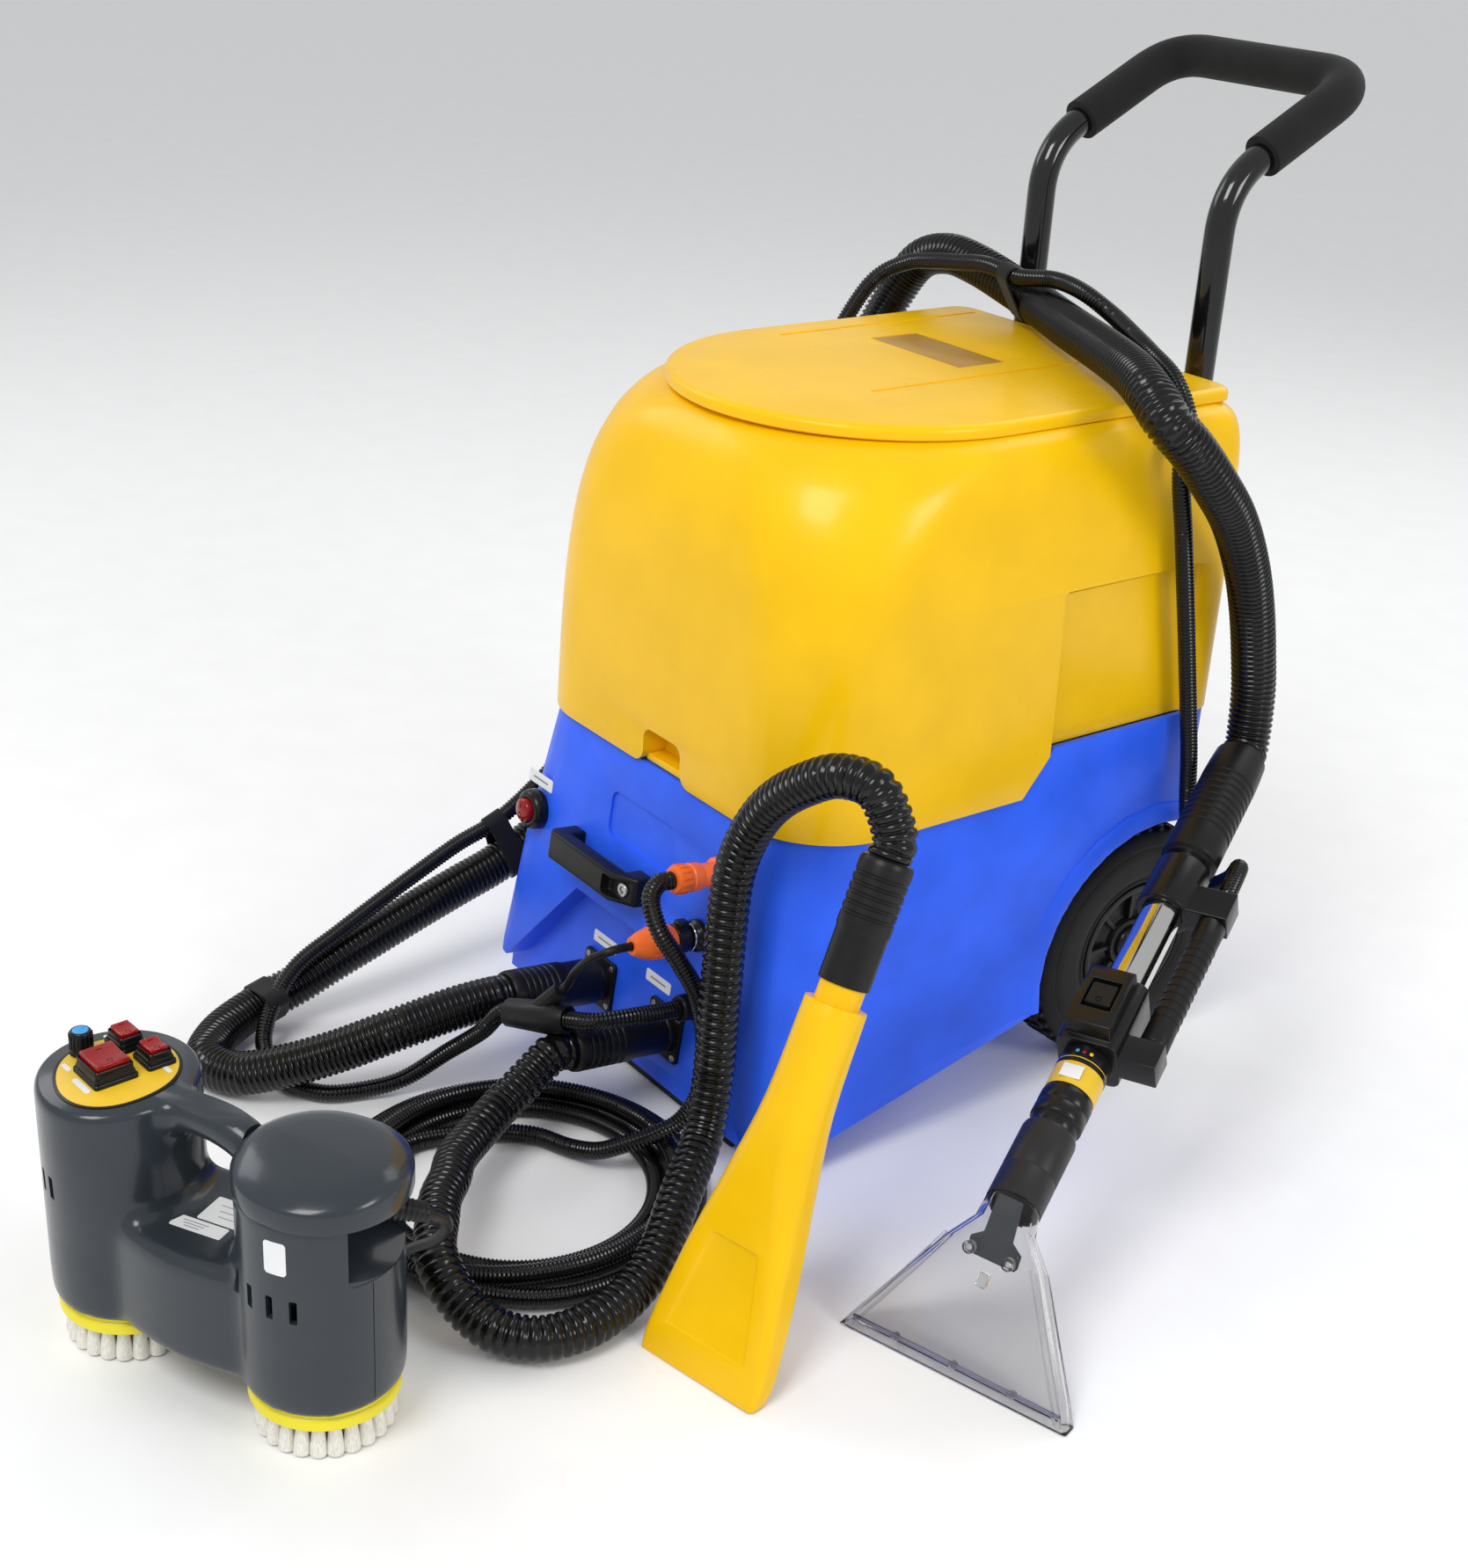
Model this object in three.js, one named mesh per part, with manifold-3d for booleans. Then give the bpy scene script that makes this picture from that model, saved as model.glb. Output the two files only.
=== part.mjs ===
// Carpet and upholstery cleaner on two rear wheels: a blue base with the motors, a yellow recovery
// tank with a lid, a push handle, an extraction wand, an air nozzle and a twin-head hand brush.
// Millimetres, +Z up. The front panel faces -Y, the wheels and the push handle are at +Y.
// The origin is the middle of the underside of the rubber foot under the front edge.
import * as THREE from 'three';
import { mergeVertices } from 'three/addons/utils/BufferGeometryUtils.js';
import Module from 'manifold-3d';

const wasm = await Module();
wasm.setup();

// ---------- driving dimensions ----------
const gap = 0.4;                 // between pieces that touch
const wall = 6;                  // rotomoulded walls of the base and the tank
const baseHalfWidth = 225;
const baseRear = 480;
const baseFront = -30;           // lower front edge, where the sockets are
const baseClearance = 18;        // front edge above the floor
const undersideRise = 74;        // the underside climbs this much towards the wheels
const undersideRiseEnd = 295;    // and is level behind this
const panelTilt = THREE.MathUtils.degToRad(7);
const cheekHeight = 45;          // the sloping front panel starts this high
const cheekDepth = 22;           // and stands this far in front of the lower edge
const recessTop = 165;           // top of the socket recess
const recessTopHalf = 95;
const recessBottomHalf = 200;
const seamFront = 328;           // where the tank sits on the base
const seamRear = 371;
const seamStepFront = 232;
const seamStepRear = 268;
const tankTop = 660;
const tankOverhang = 3;          // the tank is this much wider than the base
const footLength = 300;
const footDepth = 40;

const deckZ = 106;               // plate that carries the motors
const deckThickness = 4;

const wheelRadius = 124;
const wheelWidth = 62;
const rimRadius = 66;
const wheelOuter = 221;          // outer face of the tyre
const axleY = 418;
const axleRadius = 8;
const archRadius = 139;
const archInner = 147;           // inner wall of the wheel wells
const flareWidth = 17;
const flareProud = 6;

const lidRadius = 188;
const lidCentre = 206;
const lidRear = 486;
const lidThickness = 13;
const openingInset = 34;         // lid edge to the opening under it

const handleHalf = 118;
const handleTube = 14;
const handleY = 512;
const handleFoot = 215;
const handleBend = 842;
const handleTop = 928;
const handleReach = 168;         // the bar is this far behind the uprights
const handleCorner = 46;
const gripRadius = 20.5;

const socketX = { suction: -69, drying: 44, power: 88 };
const socketZ = { hose: 74, power: 122 };
const socketFlange = 52;
const powerFlange = 36;
const socketPipe = 17;
const suctionHose = 21;          // outer radius of each cord
const dryingHose = 18.5;
const conduit = 8.5;
const solutionTube = 4;

const switchPlace = { x: -178, z: 217 };
const handlePull = { x: -42, z: 214, length: 133, height: 28, standoff: 34, bar: 17 };
const couplerPlace = { x: 100, z: 205 };
const couplerLength = 30;
const nutLength = 44;
const brushPlug = { x: 115, z: 272 };
const brushPlugReach = 52;

const wandBottom = new THREE.Vector3(490, 0, 132);
const wandTop = new THREE.Vector3(276, 465, 336);
const lipCentre = new THREE.Vector3(501, -56, 0);
const lipHalf = 106;
const wandTubeRadius = 18;
const gripOffset = 46;           // the side grip is this far from the tube
const gripHalf = 13;
const gripFrom = 190;
const rockerPlace = { y: -39, z: 200 };

const airTip = new THREE.Vector3(392, -226, 0);
const airTop = new THREE.Vector3(346, -36, 388);

const brushCentre = new THREE.Vector3(180, -532, 0);
const brushTurn = THREE.MathUtils.degToRad(23.2);
const barrelRadius = 62;
const barrelSpacing = 196;
const barrelBottom = 43;
const barrelTop = 236;
const headRadius = 58;
const brushShell = 3;
const leadRadius = 4.5;

const coilCentre = { x: 107, y: -225 };
const coilInner = 118;
const coilOuter = 168;
const coilHeight = 4 * conduit;

// ---------- materials ----------
function finish(color, roughness, metalness = 0, more = {}) {
  return new THREE.MeshStandardMaterial({ color, roughness, metalness, ...more });
}
const yellowPlastic = finish(0xf7c80a, 0.35);
const bluePlastic = finish(0x2f5fee, 0.45);
const blackPlastic = finish(0x101012, 0.35);
const blackRubber = finish(0x141414, 0.85);
const foam = finish(0x161616, 0.95);
const hoseBlack = finish(0x0c0c0d, 0.3);
const chrome = finish(0xd5d8dc, 0.1, 1);
const steel = finish(0x8e9195, 0.35, 1);
const blackSteel = finish(0x0a0a0b, 0.2, 0.6);
const clearPlastic = finish(0xdfe6ea, 0.05, 0, { transparent: true, opacity: 0.35 });
const whitePlastic = finish(0xe9e9e4, 0.5);
const orangePlastic = finish(0xff7a28, 0.4);
const redPlastic = finish(0xd01010, 0.25);
const greyPlastic = finish(0x4a5158, 0.35);
const ringYellow = finish(0xf0e020, 0.4);
const darkSleeve = finish(0x2c2c2e, 0.6);

// ---------- solids ----------
function signedVolume(geometry) {
  const p = geometry.attributes.position;
  const index = geometry.index;
  const [a, b, c] = [new THREE.Vector3(), new THREE.Vector3(), new THREE.Vector3()];
  let volume = 0;
  for (let i = 0; i < index.count; i += 3) {
    a.fromBufferAttribute(p, index.getX(i));
    b.fromBufferAttribute(p, index.getX(i + 1));
    c.fromBufferAttribute(p, index.getX(i + 2));
    volume += a.dot(b.cross(c)) / 6;
  }
  return volume;
}

// A closed mesh with shared vertices and its faces pointing out.
function closed(geometry) {
  geometry.deleteAttribute('normal');
  geometry.deleteAttribute('uv');
  const merged = mergeVertices(geometry, 1e-3);
  const index = Array.from(merged.index.array);
  const kept = [];
  for (let i = 0; i < index.length; i += 3) {
    const [a, b, c] = index.slice(i, i + 3);
    if (a !== b && b !== c && c !== a) kept.push(a, b, c);
  }
  merged.setIndex(kept);
  if (signedVolume(merged) < 0) {
    for (let i = 0; i < kept.length; i += 3) [kept[i], kept[i + 1]] = [kept[i + 1], kept[i]];
    merged.setIndex(kept);
  }
  return merged;
}

function solid(geometry) {
  const merged = closed(geometry);
  return new wasm.Manifold(new wasm.Mesh({
    numProp: 3,
    vertProperties: new Float32Array(merged.attributes.position.array),
    triVerts: new Uint32Array(merged.index.array),
  }));
}

function geometryOf(shape) {
  const mesh = shape.getMesh();
  const geometry = new THREE.BufferGeometry();
  geometry.setAttribute('position', new THREE.BufferAttribute(mesh.vertProperties, 3));
  geometry.setIndex(new THREE.BufferAttribute(mesh.triVerts, 1));
  return geometry;
}

function join(...shapes) {
  return shapes.reduce((all, one) => all.add(one));
}

function cut(shape, ...tools) {
  return tools.reduce((rest, tool) => rest.subtract(tool), shape);
}

function box(x0, x1, y0, y1, z0, z1) {
  const geometry = new THREE.BoxGeometry(x1 - x0, y1 - y0, z1 - z0);
  geometry.translate((x0 + x1) / 2, (y0 + y1) / 2, (z0 + z1) / 2);
  return geometry;
}

// A cylinder or cone from one height to another about Z.
function rod(radius, z0, z1, sides = 24, topRadius = radius) {
  const geometry = new THREE.CylinderGeometry(topRadius, radius, z1 - z0, sides);
  geometry.rotateX(Math.PI / 2);
  geometry.translate(0, 0, (z0 + z1) / 2);
  return geometry;
}

// A turned piece about Z: its closed profile is [radius, height] pairs.
function turned(profile, sides = 24) {
  const points = profile.map(([r, z]) => new THREE.Vector2(r, z));
  const first = points[0];
  const last = points[points.length - 1];
  if (first.x > 0 || last.x > 0) points.push(first.clone());
  const geometry = new THREE.LatheGeometry(points, sides);
  geometry.rotateX(Math.PI / 2);
  return geometry;
}

function alongX(geometry) {
  return geometry.rotateY(Math.PI / 2);
}

// An outline in X and Y, raised along Z.
function raised(points, z0, z1) {
  const shape = new THREE.Shape(points.map(([x, y]) => new THREE.Vector2(x, y)));
  const geometry = new THREE.ExtrudeGeometry(shape, { depth: z1 - z0, bevelEnabled: false });
  return geometry.translate(0, 0, z0);
}

// An outline in Y and Z, drawn out along X.
function acrossX(points, x0, x1) {
  const geometry = raised(points, x0, x1);
  geometry.applyMatrix4(new THREE.Matrix4().makeBasis(
    new THREE.Vector3(0, 1, 0), new THREE.Vector3(0, 0, 1), new THREE.Vector3(1, 0, 0)));
  return geometry;
}

// Rings of equal length, joined one above the other and closed at both ends.
function lofted(rings) {
  const count = rings[0].length;
  const position = rings.flat().flatMap((p) => [p.x, p.y, p.z]);
  const index = [];
  for (let level = 0; level + 1 < rings.length; level++) {
    for (let i = 0; i < count; i++) {
      const a = level * count + i;
      const b = level * count + (i + 1) % count;
      index.push(a, b, b + count, a, b + count, a + count);
    }
  }
  for (const [level, turn] of [[0, 1], [rings.length - 1, -1]]) {
    const centre = new THREE.Vector3();
    rings[level].forEach((p) => centre.addScaledVector(p, 1 / count));
    const middle = position.length / 3;
    position.push(centre.x, centre.y, centre.z);
    for (let i = 0; i < count; i++) {
      const a = level * count + i;
      const b = level * count + (i + 1) % count;
      index.push(middle, turn > 0 ? b : a, turn > 0 ? a : b);
    }
  }
  const geometry = new THREE.BufferGeometry();
  geometry.setAttribute('position', new THREE.Float32BufferAttribute(position, 3));
  geometry.setIndex(index);
  return geometry;
}

// A level section with round corners: front corners of one radius, rear corners of another.
function section({ z, front, rear, half, frontRound, rearRound }, steps = 5) {
  const ring = [];
  const corners = [
    [half - frontRound, front + frontRound, frontRound, -90],
    [half - rearRound, rear - rearRound, rearRound, 0],
    [-half + rearRound, rear - rearRound, rearRound, 90],
    [-half + frontRound, front + frontRound, frontRound, 180],
  ];
  for (const [x, y, radius, start] of corners) {
    for (let i = 0; i <= steps; i++) {
      const turn = THREE.MathUtils.degToRad(start + 90 * i / steps);
      ring.push(new THREE.Vector3(x + radius * Math.cos(turn), y + radius * Math.sin(turn), z));
    }
  }
  return ring;
}

function shrunk(row, by) {
  return {
    ...row,
    front: row.front + by,
    rear: row.rear - by,
    half: row.half - by,
    frontRound: Math.max(row.frontRound - by, 4),
    rearRound: Math.max(row.rearRound - by, 4),
  };
}

// A round cord along hand-chosen points.
function cord(points, radius, sides, steps) {
  const path = new THREE.CatmullRomCurve3(points, false, 'centripetal');
  const circle = new THREE.Shape(Array.from({ length: sides }, (_, i) => {
    const turn = 2 * Math.PI * i / sides;
    return new THREE.Vector2(radius * Math.cos(turn), radius * Math.sin(turn));
  }));
  return new THREE.ExtrudeGeometry(circle, { steps, extrudePath: path, bevelEnabled: false });
}

const at = (x, y, z) => new THREE.Vector3(x, y, z);

// The straight start of a cord that leaves a fitting along its axis.
function leaving(point, axis, length = 16) {
  return [0, 0.5, 1].map((part) => point.clone().addScaledVector(axis, part * length));
}

// ---------- assembly ----------
const machine = new THREE.Group();

function add(name, shape, material, group = machine) {
  const geometry = shape.isBufferGeometry ? closed(shape) : geometryOf(shape);
  const mesh = new THREE.Mesh(geometry, material);
  mesh.name = name;
  group.add(mesh);
  return mesh;
}

function place(origin, alongXAxis, alongZAxis, parent = machine) {
  const z = alongZAxis.clone().normalize();
  const y = z.clone().cross(alongXAxis).normalize();
  const x = y.clone().cross(z);
  const group = new THREE.Group();
  group.position.copy(origin);
  group.quaternion.setFromRotationMatrix(new THREE.Matrix4().makeBasis(x, y, z));
  parent.add(group);
  return group;
}

// ---------- base ----------
const panelSlope = Math.tan(panelTilt);
const undersideSlope = undersideRise / (undersideRiseEnd - baseFront);
const panelY = (z) => baseFront - cheekDepth + (z - cheekHeight) * panelSlope;
const lowerPanelY = (z) => baseFront + (z - baseClearance) * panelSlope;
const undersideZ = (y) => (
  baseClearance + Math.min(y - baseFront, undersideRiseEnd - baseFront) * undersideSlope);
const panelUp = new THREE.Vector3(0, Math.sin(panelTilt), Math.cos(panelTilt));
const panelOut = new THREE.Vector3(0, -Math.cos(panelTilt), Math.sin(panelTilt));
const panelAcross = new THREE.Vector3(1, 0, 0);

// A group on the front panel, its Z pointing straight out of it.
function onPanel(x, z, height = panelY) {
  return place(new THREE.Vector3(x, height(z), z), panelAcross, panelOut);
}

function inPanel(geometry, x, z, height = panelY) {
  const matrix = new THREE.Matrix4().makeBasis(panelAcross, panelUp, panelOut);
  matrix.setPosition(x, height(z), z);
  return geometry.applyMatrix4(matrix);
}

const baseRows = [
  { z: 0, half: baseHalfWidth, frontRound: 22 },
  { z: 60, half: baseHalfWidth, frontRound: 24 },
  { z: 180, half: baseHalfWidth, frontRound: 48 },
  { z: seamFront, half: baseHalfWidth - tankOverhang, frontRound: 90 },
  { z: seamRear + 10, half: baseHalfWidth - tankOverhang, frontRound: 90 },
].map((row) => ({ ...row, front: panelY(row.z), rear: baseRear, rearRound: 25 }));

function seamCutter(shift) {
  const far = 900;
  return acrossX([
    [-far, seamFront + shift], [seamStepFront, seamFront + shift], [seamStepRear, seamRear + shift],
    [far, seamRear + shift], [far, far], [-far, far],
  ], -far, far);
}

function undersideCutter(shift) {
  const far = 900;
  return acrossX([
    [-far, -far], [far, -far], [far, undersideZ(far) + shift],
    [undersideRiseEnd, undersideZ(far) + shift], [-far, undersideZ(-far) + shift],
  ], -far, far);
}

function recessCutter(grow) {
  const deep = 200;
  const low = cheekHeight - baseClearance;
  const high = recessTop - baseClearance;
  const outline = [
    [-deep * 2, -deep], [deep * 2, -deep], [deep * 2, low + grow],
    [recessBottomHalf + grow, low + grow], [recessTopHalf + grow, high + grow],
    [-recessTopHalf - grow, high + grow], [-recessBottomHalf - grow, low + grow], [-deep * 2, low + grow],
  ];
  return inPanel(raised(outline, -grow, deep), 0, baseClearance, lowerPanelY);
}

function wheelWell(side, grow) {
  const inner = archInner - grow;
  const outer = baseHalfWidth + 40;
  const well = alongX(rod(archRadius + grow, inner, outer, 28));
  if (side < 0) well.rotateZ(Math.PI);
  return well.translate(0, axleY, wheelRadius);
}

function flare(side) {
  const ring = turned([
    [archRadius, 0], [archRadius + flareWidth, 0],
    [archRadius + flareWidth, 16 - flareProud], [archRadius + flareWidth - 9, 16], [archRadius, 16],
  ], 24);
  const outer = baseHalfWidth + flareProud;
  alongX(ring).translate(outer - 16, 0, 0);
  if (side < 0) ring.rotateZ(Math.PI);
  ring.translate(0, axleY, wheelRadius);
  return solid(ring).intersect(solid(box(-400, 400, 0, baseRear - 1, undersideZ(900) + 1, 500)));
}

function makeBase() {
  const outer = solid(lofted(baseRows.map((row) => section(row))));
  const inner = cut(
    solid(lofted(baseRows.map((row) => section(shrunk(row, wall))))),
    solid(undersideCutter(wall)), solid(recessCutter(wall)),
    solid(wheelWell(1, wall)), solid(wheelWell(-1, wall)));
  const label = inPanel(raised(roundedBox(104, 46, 10), -2.5, 60), -6, 262);
  const posts = [[-150, 20], [150, 20], [-120, 255], [120, 255]].map(([x, y]) => (
    solid(rod(9, undersideZ(y) + wall - 2, deckZ - gap, 12).translate(x, y, 0))));
  let base = cut(outer, inner, solid(undersideCutter(0)), solid(recessCutter(0)), solid(seamCutter(0)));
  base = join(base, flare(1), flare(-1), ...posts);
  return cut(
    base, solid(wheelWell(1, 0)), solid(wheelWell(-1, 0)), solid(label),
    solid(alongX(rod(axleRadius + gap, -300, 300, 14)).translate(0, axleY, wheelRadius)),
    solid(inPanel(rod(socketPipe + gap, -60, 60, 16), socketX.suction, socketZ.hose, lowerPanelY)),
    solid(inPanel(rod(socketPipe + gap, -60, 60, 16), socketX.drying, socketZ.hose, lowerPanelY)),
    solid(inPanel(rod(9 + gap, -60, 60, 14), socketX.power, socketZ.power, lowerPanelY)),
    solid(inPanel(rod(14 + gap, -60, 60, 16), switchPlace.x, switchPlace.z)),
    solid(inPanel(rod(9 + gap, -60, 60, 14), couplerPlace.x, couplerPlace.z)),
    solid(inPanel(rod(9 + gap, -60, 60, 14), brushPlug.x, brushPlug.z)));
}

// A rectangle with round corners about its own middle.
function roundedBox(width, height, radius, steps = 4) {
  const points = [];
  const [w, h] = [width / 2 - radius, height / 2 - radius];
  for (const [x, y, start] of [[w, -h, -90], [w, h, 0], [-w, h, 90], [-w, -h, 180]]) {
    for (let i = 0; i <= steps; i++) {
      const turn = THREE.MathUtils.degToRad(start + 90 * i / steps);
      points.push([x + radius * Math.cos(turn), y + radius * Math.sin(turn)]);
    }
  }
  return points;
}

add('base_housing', makeBase(), bluePlastic);

const foot = box(-footLength / 2, footLength / 2, -footDepth / 2, footDepth / 2, 0, 60);
add('front_foot', cut(solid(foot), solid(acrossX([
  [-100, undersideZ(-100) - gap], [100, undersideZ(100) - gap], [100, 100], [-100, 100],
], -300, 300))), blackRubber);

// ---------- wheels ----------
add('axle', alongX(rod(axleRadius, -wheelOuter + 14, wheelOuter - 14, 14))
  .translate(0, axleY, wheelRadius), steel);

function makeWheel(side) {
  const outward = new THREE.Vector3(side, 0, 0);
  const name = side > 0 ? 'right' : 'left';
  const group = place(new THREE.Vector3(side * (wheelOuter - wheelWidth), axleY, wheelRadius),
    new THREE.Vector3(0, 1, 0), outward);
  const [r, w] = [wheelRadius, wheelWidth];
  add(`${name}_tyre`, turned([
    [rimRadius + gap, 8], [rimRadius + 10, 4], [r - 22, 0], [r - 8, 4], [r - 1.5, 14], [r, w / 2],
    [r - 1.5, w - 14], [r - 8, w - 4], [r - 22, w], [rimRadius + 10, w - 4], [rimRadius + gap, w - 8],
  ], 24), blackRubber, group);
  add(`${name}_rim`, turned([
    [axleRadius + gap, 6], [22, 6], [22, 22], [rimRadius - 6, 22], [rimRadius, 8],
    [rimRadius, w - 8], [rimRadius - 5, w - 8], [rimRadius - 12, w - 26], [26, w - 22], [24, w - 12],
    [axleRadius + gap, w - 12],
  ], 24), blackPlastic, group);
}
[-1, 1].forEach(makeWheel);

// ---------- inside the base ----------
const riserPlace = { x: socketX.suction - 60, y: 40 };
add('equipment_deck', cut(
  solid(box(-196, 196, 6, 276, deckZ, deckZ + deckThickness)),
  solid(rod(24, 0, 300, 14).translate(riserPlace.x, riserPlace.y, 0)),
  solid(wheelWell(1, wall + 3)), solid(wheelWell(-1, wall + 3))), steel);

const deckTop = deckZ + deckThickness + gap;
const motorPlace = new THREE.Vector3(-96, 150, deckTop);
const blowerPlace = new THREE.Vector3(104, 122, deckTop);
const motor = place(motorPlace, panelAcross, new THREE.Vector3(0, 0, 1));
add('vacuum_motor', turned([
  [24, 0], [72, 0], [72, 52], [52, 62], [52, 130], [12, 142], [12, 138], [46, 126], [46, 70], [14, 62],
  [14, 48],
  [68, 44], [68, 5], [24, 5],
], 14), steel, motor);

function makeFan() {
  const blades = [];
  for (let i = 0; i < 7; i++) {
    const blade = raised([[12, -1.5], [60, -14], [60, -11], [12, 1.5]], 11, 32);
    blades.push(solid(blade.rotateZ(2 * Math.PI * i / 7)));
  }
  return join(solid(turned([[0, 8], [62, 8], [62, 12], [14, 12], [14, 38], [0, 40]], 14)), ...blades);
}
add('vacuum_fan', makeFan(), steel, motor);

const blower = place(blowerPlace, panelAcross, new THREE.Vector3(0, 0, 1));
add('drying_blower', join(
  solid(rod(58, 0, 70, 14)), solid(rod(40, 69, 118, 16)),
  solid(box(-24, 24, -104, -30, 4, 52))), blackPlastic, blower);

const pump = place(new THREE.Vector3(20, 222, deckTop), panelAcross, new THREE.Vector3(0, 0, 1));
add('solution_pump', join(
  solid(box(-34, 34, -24, 24, 0, 8)), solid(box(-30, 6, -20, 20, 7, 48)),
  solid(alongX(rod(18, 5, 34, 14)).translate(0, 0, 27))), steel, pump);

function makeSolutionTank() {
  const outer = raised(roundedBox(250, 168, 24), 0, 150);
  const inner = raised(roundedBox(242, 160, 20), 4, 146);
  const neck = rod(27, 149, 162, 16);
  const bore = rod(23, 140, 170, 16);
  return cut(join(solid(outer), solid(neck)), solid(inner), solid(bore));
}
const solutionPlace = place(new THREE.Vector3(0, 376, 152), panelAcross, new THREE.Vector3(0, 0, 1));
add('solution_tank', makeSolutionTank(), whitePlastic, solutionPlace);

// ---------- recovery tank and lid ----------
const tankRows = [
  { z: seamFront - 20, front: -22, rear: baseRear + 2, half: baseHalfWidth, frontRound: 90 },
  { z: 440, front: -21, rear: baseRear + 6, half: 222, frontRound: 95 },
  { z: 520, front: -17, rear: baseRear + 10, half: 219, frontRound: 102 },
  { z: 580, front: -11, rear: baseRear + 12, half: 215, frontRound: 120 },
  { z: 618, front: -2, rear: baseRear + 14, half: 211, frontRound: 142 },
  { z: 640, front: 8, rear: baseRear + 13, half: 206, frontRound: 160 },
  { z: 653, front: 20, rear: baseRear + 9, half: 199, frontRound: 172 },
  { z: tankTop, front: 34, rear: baseRear + 1, half: 188, frontRound: 178 },
].map((row) => ({ ...row, rearRound: 30 }));
const tankSteps = 6;

function lidOutline(inset, steps = 14) {
  const points = [];
  for (let i = 0; i <= steps; i++) {
    const turn = Math.PI * (1 + i / steps);
    points.push([(lidRadius - inset) * Math.cos(turn), lidCentre + (lidRadius - inset) * Math.sin(turn)]);
  }
  const [half, rear, round] = [lidRadius - inset, lidRear - inset, 18];
  for (const side of [1, -1]) {
    for (let i = 0; i <= 3; i++) {
      const turn = THREE.MathUtils.degToRad(side > 0 ? 30 * i : 90 + 30 * i);
      points.push([side * (half - round) + round * Math.cos(turn), rear - round + round * Math.sin(turn)]);
    }
  }
  return points;
}

function makeTank() {
  const outer = solid(lofted(tankRows.map((row) => section(row, tankSteps))));
  const innerRows = tankRows.slice(0, -1).map((row) => shrunk(row, wall));
  const inner = cut(solid(lofted(innerRows.map((row) => section(row, tankSteps)))), solid(belowSeam(wall)));
  const opening = raised(lidOutline(openingInset), 600, 800);
  const notch = box(-14, 44, -100, 4, 0, 365);
  const pocket = join(
    solid(box(baseHalfWidth - 11, 400, 262, 440, 0, 520)),
    solid(box(-400, 11 - baseHalfWidth, 262, 440, 0, 520)));
  const notchLiner = box(-14 - wall, 44 + wall, -100, 4 + wall, 0, 365 + wall);
  const pocketLiner = join(
    solid(box(baseHalfWidth - 11 - wall, 400, 262 - wall, 440 + wall, 0, 520 + wall)),
    solid(box(-400, 11 - baseHalfWidth + wall, 262 - wall, 440 + wall, 0, 520 + wall)));
  const hollow = cut(inner, solid(notchLiner), pocketLiner);
  return cut(outer, hollow, solid(belowSeam(0)), solid(opening), solid(notch), pocket,
    solid(rod(24, 0, 400, 14).translate(riserPlace.x, riserPlace.y, 0)));
}

function belowSeam(shift) {
  const far = 900;
  return acrossX([
    [-far, -far], [far, -far], [far, seamRear + gap + shift], [seamStepRear, seamRear + gap + shift],
    [seamStepFront, seamFront + gap + shift], [-far, seamFront + gap + shift],
  ], -far, far);
}

add('recovery_tank', makeTank(), yellowPlastic);

function makeLid() {
  const layers = [
    [0, tankTop + gap], [0, tankTop + lidThickness - 4], [2, tankTop + lidThickness - 1.2],
    [6, tankTop + lidThickness],
  ];
  const top = lofted(layers.map(([inset, z]) => (
    lidOutline(inset).map(([x, y]) => new THREE.Vector3(x, y, z)))));
  const plug = raised(lidOutline(openingInset + 1), tankTop - 10, tankTop + 2);
  const grooveTop = tankTop + lidThickness;
  const groove = (x, y0, y1) => solid(box(x - 2.5, x + 2.5, y0, y1, grooveTop - 2, grooveTop + 9));
  const window = box(-105, 24, 290, 350, grooveTop - 1.5, grooveTop + 9);
  const hollow = raised(lidOutline(openingInset + 7), tankTop - 30, tankTop + lidThickness - 7);
  return cut(join(solid(top), solid(plug)), groove(-150, 216, 470), groove(57, 158, 412), solid(window),
    solid(hollow));
}
add('tank_lid', makeLid(), yellowPlastic);

add('suction_riser', turned([
  [19, deckZ + 20], [23, deckZ + 20], [23, 560], [26, 566], [26, 578], [19, 578],
], 14).translate(riserPlace.x, riserPlace.y, 0), blackPlastic);

function makeFloatCage() {
  const rings = [
    solid(turned([[12, 596], [26, 596], [26, 602], [12, 602]], 14)),
    solid(turned([[10, 520], [26, 520], [26, 526], [10, 526]], 14)),
    solid(box(-20, 20, 20, 44, 596, 602)),
  ];
  for (let i = 0; i < 4; i++) {
    rings.push(solid(box(22.2, 26, -4, 4, 524, 598).rotateZ(Math.PI * (0.25 + i / 2))));
  }
  return join(...rings);
}
const float = place(new THREE.Vector3(60, 441, 0), panelAcross, new THREE.Vector3(0, 0, 1));
add('float_cage', makeFloatCage(), blackPlastic, float);
const ballRadius = 20;
const ballRest = 526 + Math.sqrt(ballRadius ** 2 - 10 ** 2) + gap;
const ball = new THREE.SphereGeometry(ballRadius, 14, 10);
add('float_ball', ball, orangePlastic, float).position.z = ballRest;

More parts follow.
